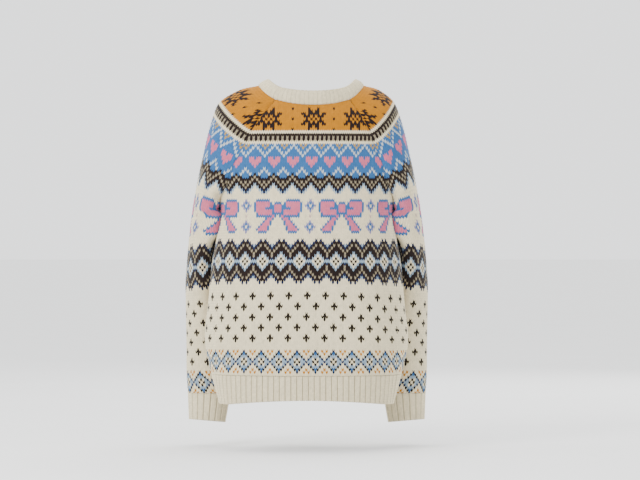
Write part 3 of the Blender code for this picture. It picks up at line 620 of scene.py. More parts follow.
def by_rows(line_at, rows):
    """Points of all rows and their distances from a seam, from those of one row."""
    lines = [line_at(row) for row in rows]
    return np.array([points for points, _ in lines]), np.array([edges for _, edges in lines])


def place_back(rows, columns):
    """Columns run from the wearer's left to the right; 0 is the left side of the middle stitch."""
    def line_at(row):
        height = row_height(row)
        edge = seam_arc(height, "back")
        arcs = np.clip((columns - 0.5) * 2 * BACK_HALF_ARC / BACK_STITCHES, -edge, edge)
        line = at_distances(*measured_section(height), np.abs(arcs))
        line[:, 0] *= -np.sign(arcs)
        return line, edge - np.abs(arcs)
    points, edges = by_rows(line_at, rows)
    return cut_at_neck(points, NECK_BACK_DROP), edges


def front_width(height):
    """Distance along the front from the front band to the side seam."""
    return measured_section(height)[1][-1] - BAND_HALF - BACK_HALF_ARC


def front_stitches():
    return int(round(front_width(UNDERARM_HEIGHT) / STITCH_WIDTH))


def place_front(rows, columns):
    """Columns run from the front band to the side seam, and keep their underarm width above it."""
    count = front_stitches()

    def line_at(row):
        height = front_row_height(row)
        section, reached = measured_section(height)
        first = reached[-1] - BAND_HALF
        width = front_width(min(height, UNDERARM_HEIGHT)) / count
        edge = seam_arc(height, "front")
        arcs = np.clip(first - columns * width, edge, first)
        return at_distances(section, reached, arcs), arcs - edge
    points, edges = by_rows(line_at, rows)
    return cut_at_neck(points, NECK_FRONT_DROP), edges


def fine_net():
    """The sleeve's net drawn smooth: knit rows at even steps, and fine columns, front seam to back."""
    net, knit_rows = sleeve_net()
    fine_rows = np.linspace(knit_rows[0], knit_rows[-1], NET_STEPS * len(knit_rows) + 1)
    fine_columns = np.linspace(0.0, SLEEVE_COLUMNS, 2 * PATH_SAMPLES + 1)
    columns = np.arange(SLEEVE_COLUMNS + 1.0)
    down = [smooth_through(knit_rows, line, fine_rows) for line in net.transpose(1, 0, 2)]
    across = [smooth_through(columns, line, fine_columns) for line in np.stack(down, axis=1)]
    return fine_rows, evened(fine_rows, np.array(across)[:, ::-1])


def evened(fine_rows, net):
    """The net with its rows spread evenly down each column, away from the raglan seams."""
    steps = np.linalg.norm(np.diff(net, axis=0), axis=2)
    middles = (fine_rows[1:] + fine_rows[:-1]) / 2
    weights = np.exp(-((middles[:, None] - middles[None, :]) / EVEN_ROWS) ** 2)
    even_steps = (weights / weights.sum(axis=1, keepdims=True)) @ steps
    even_steps *= steps.sum(axis=0) / even_steps.sum(axis=0)
    from_seam = PATH_SAMPLES - np.abs(np.arange(net.shape[1]) - PATH_SAMPLES)
    share = eased_step(from_seam / PATH_SAMPLES, 0.0, EVEN_SHARE)
    even_steps = steps + share * (even_steps - steps)
    even_net = np.array(net)
    for column in range(net.shape[1]):
        reached = distances(net[:, column])
        wanted = np.concatenate([[0.0], np.cumsum(even_steps[:, column])])
        even_net[:, column] = at_distances(net[:, column], reached, wanted)
    return even_net


def smooth_through(keys, points, at):
    """Points of a smooth curve through given points, at other values of its key."""
    return np.stack([smooth_value(keys, points[:, axis], at) for axis in range(3)], axis=1)


def place_sleeve(rows, columns):
    """Columns run from the front seam over the arm to the back seam; 0 is beside the top line."""
    fine_rows, net = fine_net()
    fine_columns = np.arange(net.shape[1])
    towards_top = 1.0 - np.abs(fine_columns - PATH_SAMPLES) / PATH_SAMPLES

    def line_at(row):
        drop = read_table(ARM_DROP_TABLE, "drop", row)
        wanted = np.clip(row + drop * towards_top ** 2, fine_rows[0], fine_rows[-1])
        place = np.interp(wanted, fine_rows, np.arange(len(fine_rows)))
        above = np.minimum(place.astype(int), len(fine_rows) - 2)
        part = (place - above)[:, None]
        line = net[above, fine_columns] * (1.0 - part) + net[above + 1, fine_columns] * part
        reached = distances(line)
        arcs = np.clip(reached[PATH_SAMPLES] + (columns - 0.5) * STITCH_WIDTH, 0.0, reached[-1])
        return at_distances(line, reached, arcs), np.minimum(arcs, reached[-1] - arcs)
    points, edges = by_rows(line_at, rows)
    return lapped(points), edges


def lapped(points):
    """The slack cloth behind the underarm lies over the side of the body."""
    x, y, height = points[..., 0], points[..., 1], points[..., 2]
    start, full, still_full, end = LAP_HEIGHTS
    share = eased_step(height, start, full) * eased_step(height, end, still_full)
    share = share * eased_step(x, LAP_SIDES[1], LAP_SIDES[0])
    share = share * eased_step(y, LAP_DEPTHS[0], LAP_DEPTHS[1])
    points[..., 0] -= LAP * share
    return points


def eased_step(value, none, full):
    """0 at one value and 1 at the other, with a soft start and end."""
    part = np.clip((value - none) / (full - none), 0.0, 1.0)
    return part * part * (3.0 - 2.0 * part)


# ---- yarn charts
def chart_yarn(row, stitch, layout):
    """Letter of the yarn of a stitch, counted from the middle line of its piece."""
    beside = abs((stitch + HALF_REPEAT) % (2 * HALF_REPEAT) - HALF_REPEAT)
    if row < COMB_ROW:
        repeat = layout["star_repeat"]
        from_star = abs(stitch - layout["star_from"]) % repeat
        from_middle = min(from_star, repeat - from_star)
        star_row = row - STAR_ROW
        if 0 <= star_row < len(STAR_CHART) and from_middle < len(STAR_CHART[0]):
            return STAR_CHART[star_row][from_middle]
        if row in DOT_ROWS and from_star == repeat // 2:
            return "k"
        return "y"
    charts = ((COMB_ROW, COMB_CHART), (HEART_ROW, HEART_CHART),
              (layout["diamond"], DIAMOND_CHART), (layout["low_diamond"], LOW_DIAMOND_CHART))
    for first, chart in charts:
        if first <= row < first + len(chart):
            return chart[row - first][beside]
    if layout["bow"] <= row < layout["bow"] + len(BOW_CHART):
        return bow_yarn(row - layout["bow"], stitch - layout["bow_from"])
    for number, middle in enumerate(layout["crosses"]):
        if abs(row - middle) + (beside if number % 2 == 0 else HALF_REPEAT - beside) <= 1:
            return "d"
    return "."


def bow_yarn(row, stitch):
    """Yarn in the band of bows, counted from its top row and from halfway between two bows."""
    from_bow = abs(stitch % BOW_REPEAT - BOW_REPEAT // 2)
    if from_bow < len(BOW_CHART[0]):
        return BOW_CHART[row][from_bow]
    from_flower = BOW_REPEAT // 2 - from_bow
    for first in (0, FLOWER_SPACING):
        if first <= row < first + len(FLOWER_CHART) and from_flower < len(FLOWER_CHART[0]):
            return FLOWER_CHART[row - first][from_flower]
    if row == len(BOW_CHART) // 2 and from_flower == 0:
        return "q"
    return "."


# ---- stitch meshes
CORNERS = ((0, 0), (1, 0), (1, 1), (0, 1))      # of a quad: steps down and across


def grid_normals(grid):
    """Outward unit normals where columns run anticlockwise seen from above and rows run down."""
    across = np.gradient(grid, axis=1)
    down = np.gradient(grid, axis=0)
    normals = np.cross(down, across)
    size = np.linalg.norm(normals, axis=-1, keepdims=True)
    return np.where(size > 1e-12, normals / np.maximum(size, 1e-12), 0.0)


def filled_normals(normals):
    """Give points where cells are crushed, on a seam or neck edge, their neighbours' directions."""
    filled = normals.copy()
    for axis in (0, 1):
        for _ in range(3):
            missing = np.linalg.norm(filled, axis=-1) < 0.5
            if not missing.any():
                return filled
            for shift in (1, -1):
                near = np.roll(filled, shift, axis=axis)
                usable = missing & (np.linalg.norm(near, axis=-1) > 0.5)
                filled[usable] = near[usable]
    return filled


def smoothed(values, passes):
    for _ in range(passes):
        padded = np.pad(values, ((1, 1), (1, 1), (0, 0)), mode="edge")
        values = (padded[:-2, 1:-1] + padded[2:, 1:-1] + padded[1:-1, :-2] + padded[1:-1, 2:]
                  + 2 * values) / 6
    return values


def knit(name, place, first_row, last_row, first_column, last_column, yarn_of, form, material,
         mirror=False, ridge=None, closed=False, thickness=0.0):
    """A piece of stitches between two rows and two columns.

    place gives points on the smooth cloth.  Each stitch is four quads wide and two high; its middle
    hangs below its sides.  ridge(column quarter) raises or sinks whole columns, as in ribs.
    """
    rows = last_row - first_row
    columns = last_column - first_column
    eighths = np.arange(-SHEAR, 8 * rows + SHEAR + 1)
    row_positions = np.clip(first_row + eighths / 8, first_row, last_row)
    column_positions = first_column + np.arange(4 * columns + 1) / 4
    points, edge = place(row_positions, column_positions)
    if mirror:
        points = points * np.array([-1.0, 1.0, 1.0])
    points = form(points)
    coarse_normals = smoothed(filled_normals(grid_normals(points[::4])), 2)
    coarse_normals /= np.maximum(np.linalg.norm(coarse_normals, axis=-1, keepdims=True), 1e-9)
    if mirror:
        coarse_normals = -coarse_normals
    normals = np.repeat(coarse_normals, 4, axis=0)[:len(points)]

    quarter = np.arange(4 * columns + 1)
    hang = SHEAR * np.array([0, 1, 2, 1, 0])
    leg = np.where(quarter % 2 == 1, 1.0, 0.0)
    relief = np.tile(leg * LEG_RISE, (len(points), 1))
    along = (eighths[:, None] + SHEAR - hang[quarter % 4][None, :]) % 8
    relief *= np.where(along == 4, 1.0, LEG_END_SHARE)
    relief -= SEAM_DIP * np.exp(-(edge / SEAM_DIP_WIDTH) ** 2)
    if ridge is not None:
        relief += ridge(quarter)[None, :]
    points = points + normals * relief[..., None]

    stitch_rows, stitch_columns = np.meshgrid(np.arange(rows), np.arange(columns), indexing="ij")
    stitch_rows = stitch_rows.ravel()
    stitch_columns = stitch_columns.ravel()
    corners = []
    for half in range(2):
        for leg_part in range(4):
            quad = []
            for down, across in CORNERS:
                row_index = 8 * stitch_rows + 4 * (half + down) + hang[leg_part + across]
                column_index = 4 * stitch_columns + leg_part + across
                if closed:
                    column_index = column_index % (4 * columns)
                quad.append(row_index * (4 * columns + 1) + column_index)
            corners.append(np.stack(quad, axis=1))
    faces = np.stack(corners, axis=1)                    # stitch, quad, corner
    if mirror:
        faces = faces[..., ::-1]

    letters = np.array([[yarn_of(first_row + row, first_column + column) for column in range(columns)]
                        for row in range(rows)])
    colours = stitch_colours(letters.ravel(), ridge, stitch_columns, mirror)
    return sheet_mesh(name, points.reshape(-1, 3), faces.reshape(-1, 4), colours, material, thickness)


def stitch_colours(letters, ridge, stitch_columns, mirror):
    """Colour of every face corner: yarn, slight unevenness of dye, and shade between the legs."""
    kinds, index = np.unique(letters, return_inverse=True)
    base = np.array([YARNS[letter] for letter in kinds])[index.ravel()]
    base = base * (1.0 + random.normal(0.0, DYE_UNEVENNESS, len(base)))[:, None]
    colours = np.repeat(base[:, None, None, :], 8, axis=1)
    colours = np.repeat(colours, 4, axis=2)
    crowded = letters == CROWDED_YARN
    order = CORNERS[::-1] if mirror else CORNERS
    for half in range(2):
        for leg_part in range(4):
            for corner, (down, across) in enumerate(order):
                quarter = leg_part + across
                end = half + down != 1
                shade = LEG_SHADES[quarter] * (END_SHADE if end else 1.0)
                crowded_shade = CROWDED_SHADES[quarter] * (CROWDED_END_SHADE if end else 1.0)
                light = np.where(crowded, crowded_shade, shade)
                colours[:, 4 * half + leg_part, corner] *= light[:, None]
    if ridge is not None:
        depth = ridge(4 * stitch_columns + 2)
        colours *= (1.0 + VALLEY_SHADE * depth / RIB_DEPTH)[:, None, None, None]
    return np.clip(colours, 0.0, 1.0).reshape(-1, 4, 3)


def sheet_mesh(name, points, faces, colours, material, thickness):
    """Make the mesh object, without the crushed faces past a seam."""
    a, b, c, d = points[faces].transpose(1, 0, 2)
    area = np.linalg.norm(np.cross(c - a, d - b), axis=1) / 2
    kept = area > CRUSHED_AREA
    faces, colours = faces[kept], colours[kept]
    used, index = np.unique(faces.ravel(), return_inverse=True)
    mesh = bpy.data.meshes.new(name)
    mesh.vertices.add(len(used))
    mesh.vertices.foreach_set("co", points[used].ravel())
    mesh.loops.add(4 * len(faces))
    mesh.loops.foreach_set("vertex_index", index.ravel().astype(np.int32))
    mesh.polygons.add(len(faces))
    mesh.polygons.foreach_set("loop_start", np.arange(0, 4 * len(faces), 4, dtype=np.int32))
    mesh.polygons.foreach_set("loop_total", np.full(len(faces), 4, dtype=np.int32))
    mesh.polygons.foreach_set("use_smooth", np.ones(len(faces), dtype=bool))
    mesh.update(calc_edges=True)
    layer = mesh.color_attributes.new("yarn", "FLOAT_COLOR", "CORNER")
    opaque = np.ones((4 * len(faces), 1))
    layer.data.foreach_set("color", np.hstack([colours.reshape(-1, 3), opaque]).ravel())
    mesh.validate()
    piece = bpy.data.objects.new(name, mesh)
    bpy.context.scene.collection.objects.link(piece)
    mesh.materials.append(material)
    if thickness:
        shell = piece.modifiers.new("thickness", "SOLIDIFY")
        shell.thickness = thickness
        shell.offset = -1.0
    return piece


# ---- materials
WOOL_SURFACE = {"Roughness": 0.92, "Sheen Weight": 0.12, "Sheen Roughness": 0.5,
                "Specular IOR Level": 0.2}
DYE_MOTTLE = {"To Min": 0.80, "To Max": 1.16}   # as a share of the yarn's colour
FIBRES = {"Scale": 1400.0, "Detail": 4.0}
FIBRE_RELIEF = {"Strength": 0.5, "Distance": 0.0005}


def set_inputs(node, values):
    for name, value in values.items():
        node.inputs[name].default_value = value


def new_material(name, surface):
    """A material, its node tree and its shader, whose inputs are given by name."""
    material = bpy.data.materials.new(name)
    material.use_nodes = True
    shader = material.node_tree.nodes["Principled BSDF"]
    set_inputs(shader, surface)
    return material, material.node_tree, shader


def new_texture(tree, kind, values):
    """A procedural texture on the object's own coordinates."""
    texture = tree.nodes.new("ShaderNodeTex" + kind)
    set_inputs(texture, values)
    place = tree.nodes.new("ShaderNodeTexCoord")
    tree.links.new(place.outputs["Object"], texture.inputs["Vector"])
    return texture


def wool_material(name, mottle_scale):
    """Wool: yarn colour with mottled dye, fine fibres in the bump, and a soft sheen."""
    material, tree, shader = new_material(name, WOOL_SURFACE)
    mottle = new_texture(tree, "Noise", {"Scale": mottle_scale, "Detail": 3.0})
    fibres = new_texture(tree, "Noise", FIBRES)
    yarn = tree.nodes.new("ShaderNodeAttribute")
    yarn.attribute_name = "yarn"
    spread = tree.nodes.new("ShaderNodeMapRange")
    set_inputs(spread, DYE_MOTTLE)
    tint = tree.nodes.new("ShaderNodeVectorMath")
    tint.operation = "SCALE"
    bump = tree.nodes.new("ShaderNodeBump")
    set_inputs(bump, FIBRE_RELIEF)
    tree.links.new(mottle.outputs["Fac"], spread.inputs["Value"])
    tree.links.new(yarn.outputs["Color"], tint.inputs["Vector"])
    tree.links.new(spread.outputs["Result"], tint.inputs["Scale"])
    tree.links.new(tint.outputs["Vector"], shader.inputs["Base Color"])
    tree.links.new(fibres.outputs["Fac"], bump.inputs["Height"])
    tree.links.new(bump.outputs["Normal"], shader.inputs["Normal"])
    return material


def clouded_material(name, kind, values, colours, roughness, reach=(0.0, 1.0)):
    """A material that passes from one colour to another over the given reach of a texture."""
    material, tree, shader = new_material(name, {"Roughness": roughness})
    texture = new_texture(tree, kind, values)
    ramp = tree.nodes.new("ShaderNodeValToRGB")
    for element, colour, position in zip(ramp.color_ramp.elements, colours, reach):
        element.position = position
        element.color = colour + (1.0,)
    tree.links.new(texture.outputs["Fac"], ramp.inputs["Fac"])
    tree.links.new(ramp.outputs["Color"], shader.inputs["Base Color"])
    return material


def button_material():
    """Polished horn-coloured button with faint clouding."""
    return clouded_material("bone_button", "Noise", {"Scale": 160.0, "Detail": 3.0},
                            colours=((0.60, 0.50, 0.36), (0.78, 0.70, 0.57)), reach=(0.35, 0.70),
                            roughness=0.28)


def thread_material():
    """Twisted cream thread: the wave's darker bands are painted shade in the grooves of its twist."""
    return clouded_material("sewing_thread", "Wave", {"Scale": 900.0},
                            colours=((0.50, 0.46, 0.38), (0.72, 0.67, 0.56)), roughness=0.8)


def floor_material():
    return clouded_material("pale_floor", "Noise", {"Scale": 3.0},
                            colours=((0.88, 0.88, 0.87), (0.92, 0.92, 0.91)), roughness=0.9)


# ---- knitted pieces
def declare(piece, node):
    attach(piece, "root")
    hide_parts(node)


def body_form(points):
    return settled(folded(points))


def build_back(wool):
    half = BACK_STITCHES // 2
    return knit("back_knit", place_back, FIRST_ROW, BODY_LAST_ROW, -half, half + 1,
                lambda row, stitch: chart_yarn(row, stitch, BODY_LAYOUT),
                form=body_form, material=wool)


def build_front(side, wool):
    """Stitches of a front are counted on from the back's side seam, so that the bands run round."""
    count = front_stitches()
    seam_stitch = BACK_STITCHES // 2

    def yarn_of(row, stitch):
        return chart_yarn(row, seam_stitch + count - stitch, BODY_LAYOUT)
    return knit("front_" + side + "_knit", place_front, FIRST_ROW, BODY_LAST_ROW, 0, count, yarn_of,
                mirror=side == "right", form=body_form, material=wool)


def build_sleeve(side, wool):
    last = int(math.ceil(UNDERARM_ROW + SLEEVE_TUBE_ROWS))
    return knit("sleeve_" + side + "_knit", place_sleeve, FIRST_ROW, last, -SLEEVE_HALF_STITCHES,
                SLEEVE_HALF_STITCHES + 1, lambda row, stitch: chart_yarn(row, stitch, SLEEVE_LAYOUT),
                mirror=side == "right", form=settled, material=wool)


# ---- ribs and bands
def rib_edges(ribs):
    """Column edges, in ribs, of two knit stitches and a narrow purl valley for each rib."""
    single = np.array([0.0, RIDGE_SHARE, 2 * RIDGE_SHARE])
    edges = (np.arange(ribs)[:, None] + single[None, :]).ravel()
    return np.append(edges, ribs) / ribs


def rib_ridge(quarter, depth=RIB_DEPTH):
    """Purl columns, every third one, lie below the knit ones."""
    column = (np.asarray(quarter) / 4.0) % 3.0
    across_valley = np.clip(column - 2.0, 0.0, 1.0)
    return -depth * np.sin(np.pi * across_valley)


def cream(row, stitch):
    return "."


def far_from_seams(rows):
    """Points of rows, each marked as a metre from a seam, because ribs don't sink towards theirs."""
    points = np.array(rows)
    return points, np.ones(points.shape[:2])


def knit_rib(name, line_at, rows, ribs, wool, form=settled, ridge=rib_ridge, **options):
    """A ribbed piece; line_at gives the points of a row at shares of the row's length."""
    edges = rib_edges(ribs)

    def place(row_positions, columns):
        share = np.interp(columns, np.arange(len(edges)), edges)
        return far_from_seams([line_at(row, share) for row in row_positions])
    return knit(name, place, 0, rows, 0, 3 * ribs, cream, form=form, ridge=ridge, material=wool,
                thickness=WALL, **options)


def build_hem(name, wool, first_arc, last_arc, mirror):
    """Arcs are distances from centre back; None stands for the edge of the front band."""
    def first_at(reached):
        return reached[-1] - BAND_HALF if first_arc is None else first_arc

    def line_at(row, share):
        height = RIB_TOP_HEIGHT - SEAM_GAP + (HEM_HEIGHT - RIB_TOP_HEIGHT) * row / HEM_RIB_ROWS
        section, reached = measured_section(height)
        arcs = first_at(reached) + (last_arc - first_at(reached)) * share
        line = at_distances(section, reached, np.abs(arcs))
        line[:, 0] *= np.where(arcs < 0.0, -1.0, 1.0)
        drawn = np.clip(1.0 - (line[:, 0] / HEM_RISE_HALF_WIDTH) ** 2, 0.0, 1.0) * (line[:, 1] > 0.0)
        line[:, 2] += HEM_RISE * drawn * row / HEM_RIB_ROWS
        return line
    length = abs(first_at(measured_section(HEM_HEIGHT)[1]) - last_arc)
    return knit_rib(name, line_at, HEM_RIB_ROWS, max(1, round(length / HEM_RIB_PITCH)), wool,
                    form=body_form, mirror=mirror)


def build_cuff(side, wool):
    top = tube_values(1.0)
    girth = distances(tube_row(top, 2 * PATH_SAMPLES))[-1]

    def line_at(row, share):
        part = row / CUFF_RIB_ROWS
        values = [near + part * (far - near) for near, far in zip(top, CUFF_END)]
        return along_curve(tube_row(values, 2 * PATH_SAMPLES)[::-1], share)
    return knit_rib("cuff_" + side + "_knit", line_at, CUFF_RIB_ROWS, CUFF_RIBS, wool, closed=True,
                    mirror=side == "right"), girth


def neck_seam():
    """The neck seam from the left front band round the back to the right front band."""
    top_back = float(read_table(CAP_TABLE, "back_height", 0.0))
    top_front = float(read_table(CAP_TABLE, "front_height", 0.0))
    front = neck_line("front", top_front, BAND_HALF, NECK_FRONT_DROP)
    back = neck_line("back", top_back, 0.0, NECK_BACK_DROP)
    shoulder = cap_row(0.0, PATH_SAMPLES // 2)
    left = np.concatenate([front, shoulder[::-1][1:-1], back[::-1]])
    right = left[::-1][1:] * np.array([-1.0, 1.0, 1.0])
    return np.concatenate([left, right])


def neck_line(which, top_height, middle_x, drop):
    """The neck seam across half of the back or a front, from its middle to the raglan seam."""
    top_x = body_point(top_height, seam_arc(top_height, which))[0]
    points = []
    for x in np.linspace(middle_x, top_x, PATH_SAMPLES // 4):
        height = float(neck_height(x, drop))
        section = body_section(height)
        half = section[:PATH_SAMPLES] if which == "back" else section[PATH_SAMPLES - 1:][::-1]
        points.append([x, np.interp(x, half[:, 0], half[:, 1]), height])
    points[-1] = list(body_point(top_height, seam_arc(top_height, which)))
    return np.array(points)


def neckband_line(seam, part):
    """The neckband at a share of its height: it leans inwards and stands out a little."""
    middle_y = float(read_table(CAP_TABLE, "top_y", 0.0))
    x, y, height = seam[:, 0], seam[:, 1], seam[:, 2]
    sideways = np.minimum(np.abs(x) / NECK_HALF_WIDTH, 1.0)
    more_rise = (NECKBAND_RISE_CENTRE - NECKBAND_RISE_SIDE) * np.sqrt(1.0 - sideways ** 2)
    rise = NECKBAND_RISE_SIDE + more_rise
    narrowing = 1.0 + part * (NECKBAND_NARROWING - 1.0)
    beyond_band = np.maximum(np.abs(x) - BAND_HALF, 0.0)
    narrowed = np.sign(x) * (np.abs(x) - beyond_band * (1.0 - narrowing))
    deepening = 1.0 + part * (NECKBAND_DEEPENING - 1.0)
    out = np.stack([x, y - middle_y, np.full_like(x, NECKBAND_TILT)], axis=1)
    out /= np.linalg.norm(out, axis=1, keepdims=True)
    out *= NECKBAND_BULGE * 4 * part * (1 - part)
    out[:, 0] *= np.minimum(beyond_band / BAND_WIDTH, 1.0)
    deepened = middle_y + (y - middle_y) * deepening
    return np.stack([narrowed, deepened, height + part * rise], axis=1) + out


def build_neckband(wool):
    seam = neck_seam()
    length = distances(seam)[-1]

    def line_at(row, share):
        return neckband_line(along_curve(seam, share), max(1.0 - row / NECKBAND_ROWS, 0.0))
    return knit_rib("neckband_knit", line_at, NECKBAND_ROWS, round(length / NECK_RIB_PITCH), wool,
                    ridge=lambda quarter: rib_ridge(quarter, NECK_RIB_DEPTH)), length


def front_line():
    """Middle line of the closed front, from the top of the neckband down to the hem."""
    top = float(neck_height(BAND_HALF, NECK_FRONT_DROP))
    heights = np.linspace(HEM_HEIGHT, top, PATH_SAMPLES)
    body = np.array([[0.0, -body_value("front_depth", height), height] for height in heights])
    above = np.array([neckband_line(body[-1:], part)[0] for part in (0.5, 1.0)])
    above[:, 0] = 0.0
    return np.concatenate([body, above])[::-1]


def line_normals(line):
    tangents = np.gradient(line, axis=0)
    normals = np.stack([np.zeros(len(line)), tangents[:, 2], -tangents[:, 1]], axis=1)
    return normals / np.linalg.norm(normals, axis=1, keepdims=True)


def band_ridge(quarter):
    """Garter-like ridges of the front bands, one to each two stitches."""
    return -BAND_RIDGE_DEPTH * (0.5 - 0.5 * np.cos(np.pi * np.asarray(quarter) / 4.0))


def build_band(name, wool, lift, raised):
    line = front_line()
    reached = distances(line)
    normals = line_normals(line)
    rows_long = int(round(reached[-1] / ROW_HEIGHT))

    def place(rows, columns):
        wanted = rows / rows_long * reached[-1]
        middle = at_distances(line, reached, wanted)
        outward = at_distances(normals, reached, wanted)
        across = np.linspace(-BAND_HALF, BAND_HALF, BAND_STITCHES + 1)
        x = np.interp(columns, np.arange(BAND_STITCHES + 1), across)
        points = middle[:, None, :] + lift * outward[:, None, :] + np.zeros((1, len(x), 1))
        points[..., 0] += x[None, :]
        return far_from_seams(points)
    return knit(name, place, 0, rows_long, 0, BAND_STITCHES, cream, form=settled,
                ridge=band_ridge if raised else None, material=wool, thickness=WALL), reached[-1]


# ---- buttons
BUTTON_RADIUS = 0.0095
BUTTON_THICKNESS = 0.0032
BUTTON_SIDES = 48
UNDERSIDE_INSET = 0.0009        # the flat underside ends this far inside the rim
RIM_ROUNDING = (0.0010, 0.0013)     # across and up
RIM_ANGLES = (-60.0, 110.0)
RIM_STEPS = 9
LIP_INSET = 0.0024              # inner edge of the rim, and its drop below the top
LIP_DROP = 0.0005
DISH_INSET = 0.0034             # edge of the flat dish inside the rim, and its depth
DISH_DEPTH = 0.0011
HOLE_RADIUS = 0.00085
HOLE_SIDES = 16
HOLE_SPACING = 0.0016           # from the button's middle, each way
THREAD_RADIUS = 0.00045
THREAD_SIDES = 10
SHARP_ANGLE = 40.0


def button_outline():
    """Radius and height round half of the button's section, from its underside to its dish."""
    across, up = RIM_ROUNDING
    outline = [(0.0, 0.0), (BUTTON_RADIUS - UNDERSIDE_INSET, 0.0)]
    for degrees in np.linspace(*RIM_ANGLES, RIM_STEPS):
        angle = math.radians(degrees)
        outline.append((BUTTON_RADIUS - across + across * math.cos(angle),
                        BUTTON_THICKNESS - up + up * math.sin(angle)))
    return outline + [(BUTTON_RADIUS - LIP_INSET, BUTTON_THICKNESS - LIP_DROP),
                      (BUTTON_RADIUS - DISH_INSET, BUTTON_THICKNESS - DISH_DEPTH),
                      (0.0, BUTTON_THICKNESS - DISH_DEPTH)]


def add_rod(solid, radius, length, sides, place):
    bmesh.ops.create_cone(solid, cap_ends=True, segments=sides, radius1=radius, radius2=radius,
                          depth=length, matrix=place)


def button_mesh(bone, thread):
    """A turned four-hole button with a rounded rim, sewn on with two bars of thread."""
    solid = bmesh.new()
    corners = [solid.verts.new((radius, 0.0, height)) for radius, height in button_outline()]
    edges = [solid.edges.new(pair) for pair in zip(corners, corners[1:])]
    bmesh.ops.spin(solid, geom=corners + edges, cent=(0.0, 0.0, 0.0), axis=(0.0, 0.0, 1.0),
                   angle=2 * math.pi, steps=BUTTON_SIDES, use_duplicate=False)
    bmesh.ops.remove_doubles(solid, verts=solid.verts[:], dist=1e-6)
    bmesh.ops.recalc_face_normals(solid, faces=solid.faces[:])
    body = mesh_object("button_body", solid, bone)
    holes = bmesh.new()
    for x in (-HOLE_SPACING, HOLE_SPACING):
        for y in (-HOLE_SPACING, HOLE_SPACING):
            add_rod(holes, HOLE_RADIUS, 4 * BUTTON_THICKNESS, HOLE_SIDES,
                    Matrix.Translation((x, y, BUTTON_THICKNESS / 2)))
    cutter = mesh_object("button_holes", holes, bone)
    cut = body.modifiers.new("holes", "BOOLEAN")
    cut.operation = "DIFFERENCE"
    cut.solver = "EXACT"
    cut.object = cutter
    evaluated = body.evaluated_get(bpy.context.evaluated_depsgraph_get())
    joined = bmesh.new()
    joined.from_mesh(bpy.data.meshes.new_from_object(evaluated))
    for helper in (body, cutter):
        bpy.data.objects.remove(helper)

    for y in (-HOLE_SPACING, HOLE_SPACING):
        before = set(joined.faces)
        place = (Matrix.Translation((0.0, y, BUTTON_THICKNESS - DISH_DEPTH))
                 @ Matrix.Rotation(math.pi / 2, 4, "Y"))
        add_rod(joined, THREAD_RADIUS, 2 * HOLE_SPACING, THREAD_SIDES, place)
        for face in set(joined.faces) - before:
            face.material_index = 1
    mesh = bpy.data.meshes.new("button_four_holes")
    joined.to_mesh(mesh)
    joined.free()
    mesh.materials.append(bone)
    mesh.materials.append(thread)
    for polygon in mesh.polygons:
        polygon.use_smooth = True
    mesh.set_sharp_from_angle(angle=math.radians(SHARP_ANGLE))
    return mesh


def mesh_object(name, solid, material):
    mesh = bpy.data.meshes.new(name)
    solid.to_mesh(mesh)
    solid.free()
    mesh.materials.append(material)
    made = bpy.data.objects.new(name, mesh)
    bpy.context.scene.collection.objects.link(made)
    return made


def build_buttons(bone, thread):
    """One button on each button solid, at its middle and square to it."""
    mesh = button_mesh(bone, thread)
    for name in sorted(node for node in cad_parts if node.startswith("button_")):
        if name == "button_band":
            continue
        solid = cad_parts[name]
        points = np.array([tuple(vertex.co) for vertex in solid.data.vertices])
        points = np.unique(np.round(points, 6), axis=0)
        low, high = (np.array(corner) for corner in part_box(name))
        middle = (low + high) / 2
        _, _, axes = np.linalg.svd(points - points.mean(axis=0))
        outward = axes[2] * (-1.0 if axes[2][1] > 0 else 1.0)
        button = bpy.data.objects.new(name + "_bone", mesh)
        bpy.context.scene.collection.objects.link(button)
        turn = Vector((0.0, 0.0, 1.0)).rotation_difference(Vector(outward))
        button.rotation_mode = "QUATERNION"
        button.rotation_quaternion = turn
        button.location = Vector(middle - outward * BUTTON_THICKNESS / 2)
        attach(button, "root")
        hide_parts(name)


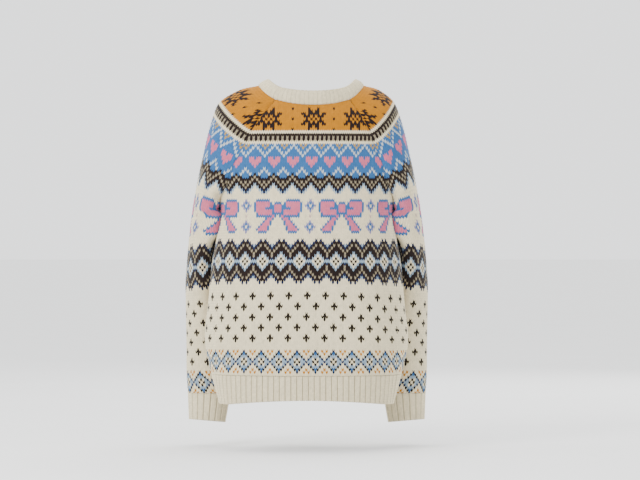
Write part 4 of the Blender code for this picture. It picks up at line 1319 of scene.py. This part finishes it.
# ---- stage
def build_stage():
    bpy.ops.mesh.primitive_circle_add(vertices=96, radius=FLOOR_RADIUS, fill_type="NGON",
                                      location=(0.0, 0.0, FLOOR_HEIGHT))
    floor = bpy.context.object
    floor.name = "floor"
    floor.data.materials.append(floor_material())

    world = bpy.data.worlds.new("studio")
    bpy.context.scene.world = world
    world.use_nodes = True
    set_inputs(world.node_tree.nodes["Background"], {"Color": WORLD_COLOUR, "Strength": WORLD_STRENGTH})
    lights = (
        # name, place, size, power
        ("key", (1.9, 2.6, 1.3), 1.4, 105.0),
        ("fill", (-2.4, 2.2, 0.4), 2.2, 6.0),
        ("top", (0.0, -0.2, 2.6), 2.0, 22.0),
        ("front", (-1.2, -2.8, 1.2), 2.2, 45.0),
    )
    for name, place, size, power in lights:
        light = bpy.data.lights.new(name, "AREA")
        light.shape = "DISK"
        light.size = size
        light.energy = power
        lamp = bpy.data.objects.new(name, light)
        bpy.context.scene.collection.objects.link(lamp)
        lamp.location = place
        aim = Vector(LIGHT_AIM) - Vector(place)
        lamp.rotation_euler = aim.to_track_quat("-Z", "Y").to_euler()


def build_camera():
    """Level with the middle of the picture and far back, looking at the back of the cardigan."""
    camera = bpy.data.cameras.new("camera")
    camera.lens = FOCAL_LENGTH
    camera.sensor_width = SENSOR_WIDTH
    camera.sensor_fit = "HORIZONTAL"
    camera.clip_end = CAMERA_REACH
    holder = bpy.data.objects.new("camera", camera)
    bpy.context.scene.collection.objects.link(holder)
    distance = IMAGE_WIDTH * PIXEL * FOCAL_LENGTH / SENSOR_WIDTH
    across = (PHOTO_MIDDLE_X - IMAGE_WIDTH / 2) * PIXEL
    height = (PHOTO_SHOULDER_Y - IMAGE_HEIGHT / 2) * PIXEL
    holder.location = (across, distance, height)
    holder.rotation_euler = (math.pi / 2, 0.0, math.pi)
    bpy.context.scene.camera = holder


def main():
    wool = wool_material("stranded_wool", mottle_scale=330.0)
    rib_wool = wool_material("rib_wool", mottle_scale=260.0)
    build_camera()
    build_stage()

    declare(build_back(wool), "back_panel")
    for side in ("left", "right"):
        declare(build_front(side, wool), "front_" + side)
        declare(build_sleeve(side, wool), "sleeve_" + side)
        cuff, girth = build_cuff(side, rib_wool)
        declare(cuff, "cuff_" + side)
    declare(build_hem("hem_back_knit", rib_wool, BACK_HALF_ARC, -BACK_HALF_ARC, False),
            "hem_rib_back")
    for side in ("left", "right"):
        piece = build_hem("hem_front_" + side + "_knit", rib_wool, None, BACK_HALF_ARC, side == "right")
        declare(piece, "hem_rib_front_" + side)
    neckband, neck_length = build_neckband(rib_wool)
    declare(neckband, "neckband")
    for name, lift in (("button_band", 0.0), ("buttonhole_band", SEAM_GAP + WALL)):
        band, length = build_band(name + "_knit", rib_wool, lift, lift > 0.0)
        declare(band, name)
    build_buttons(button_material(), thread_material())


main()
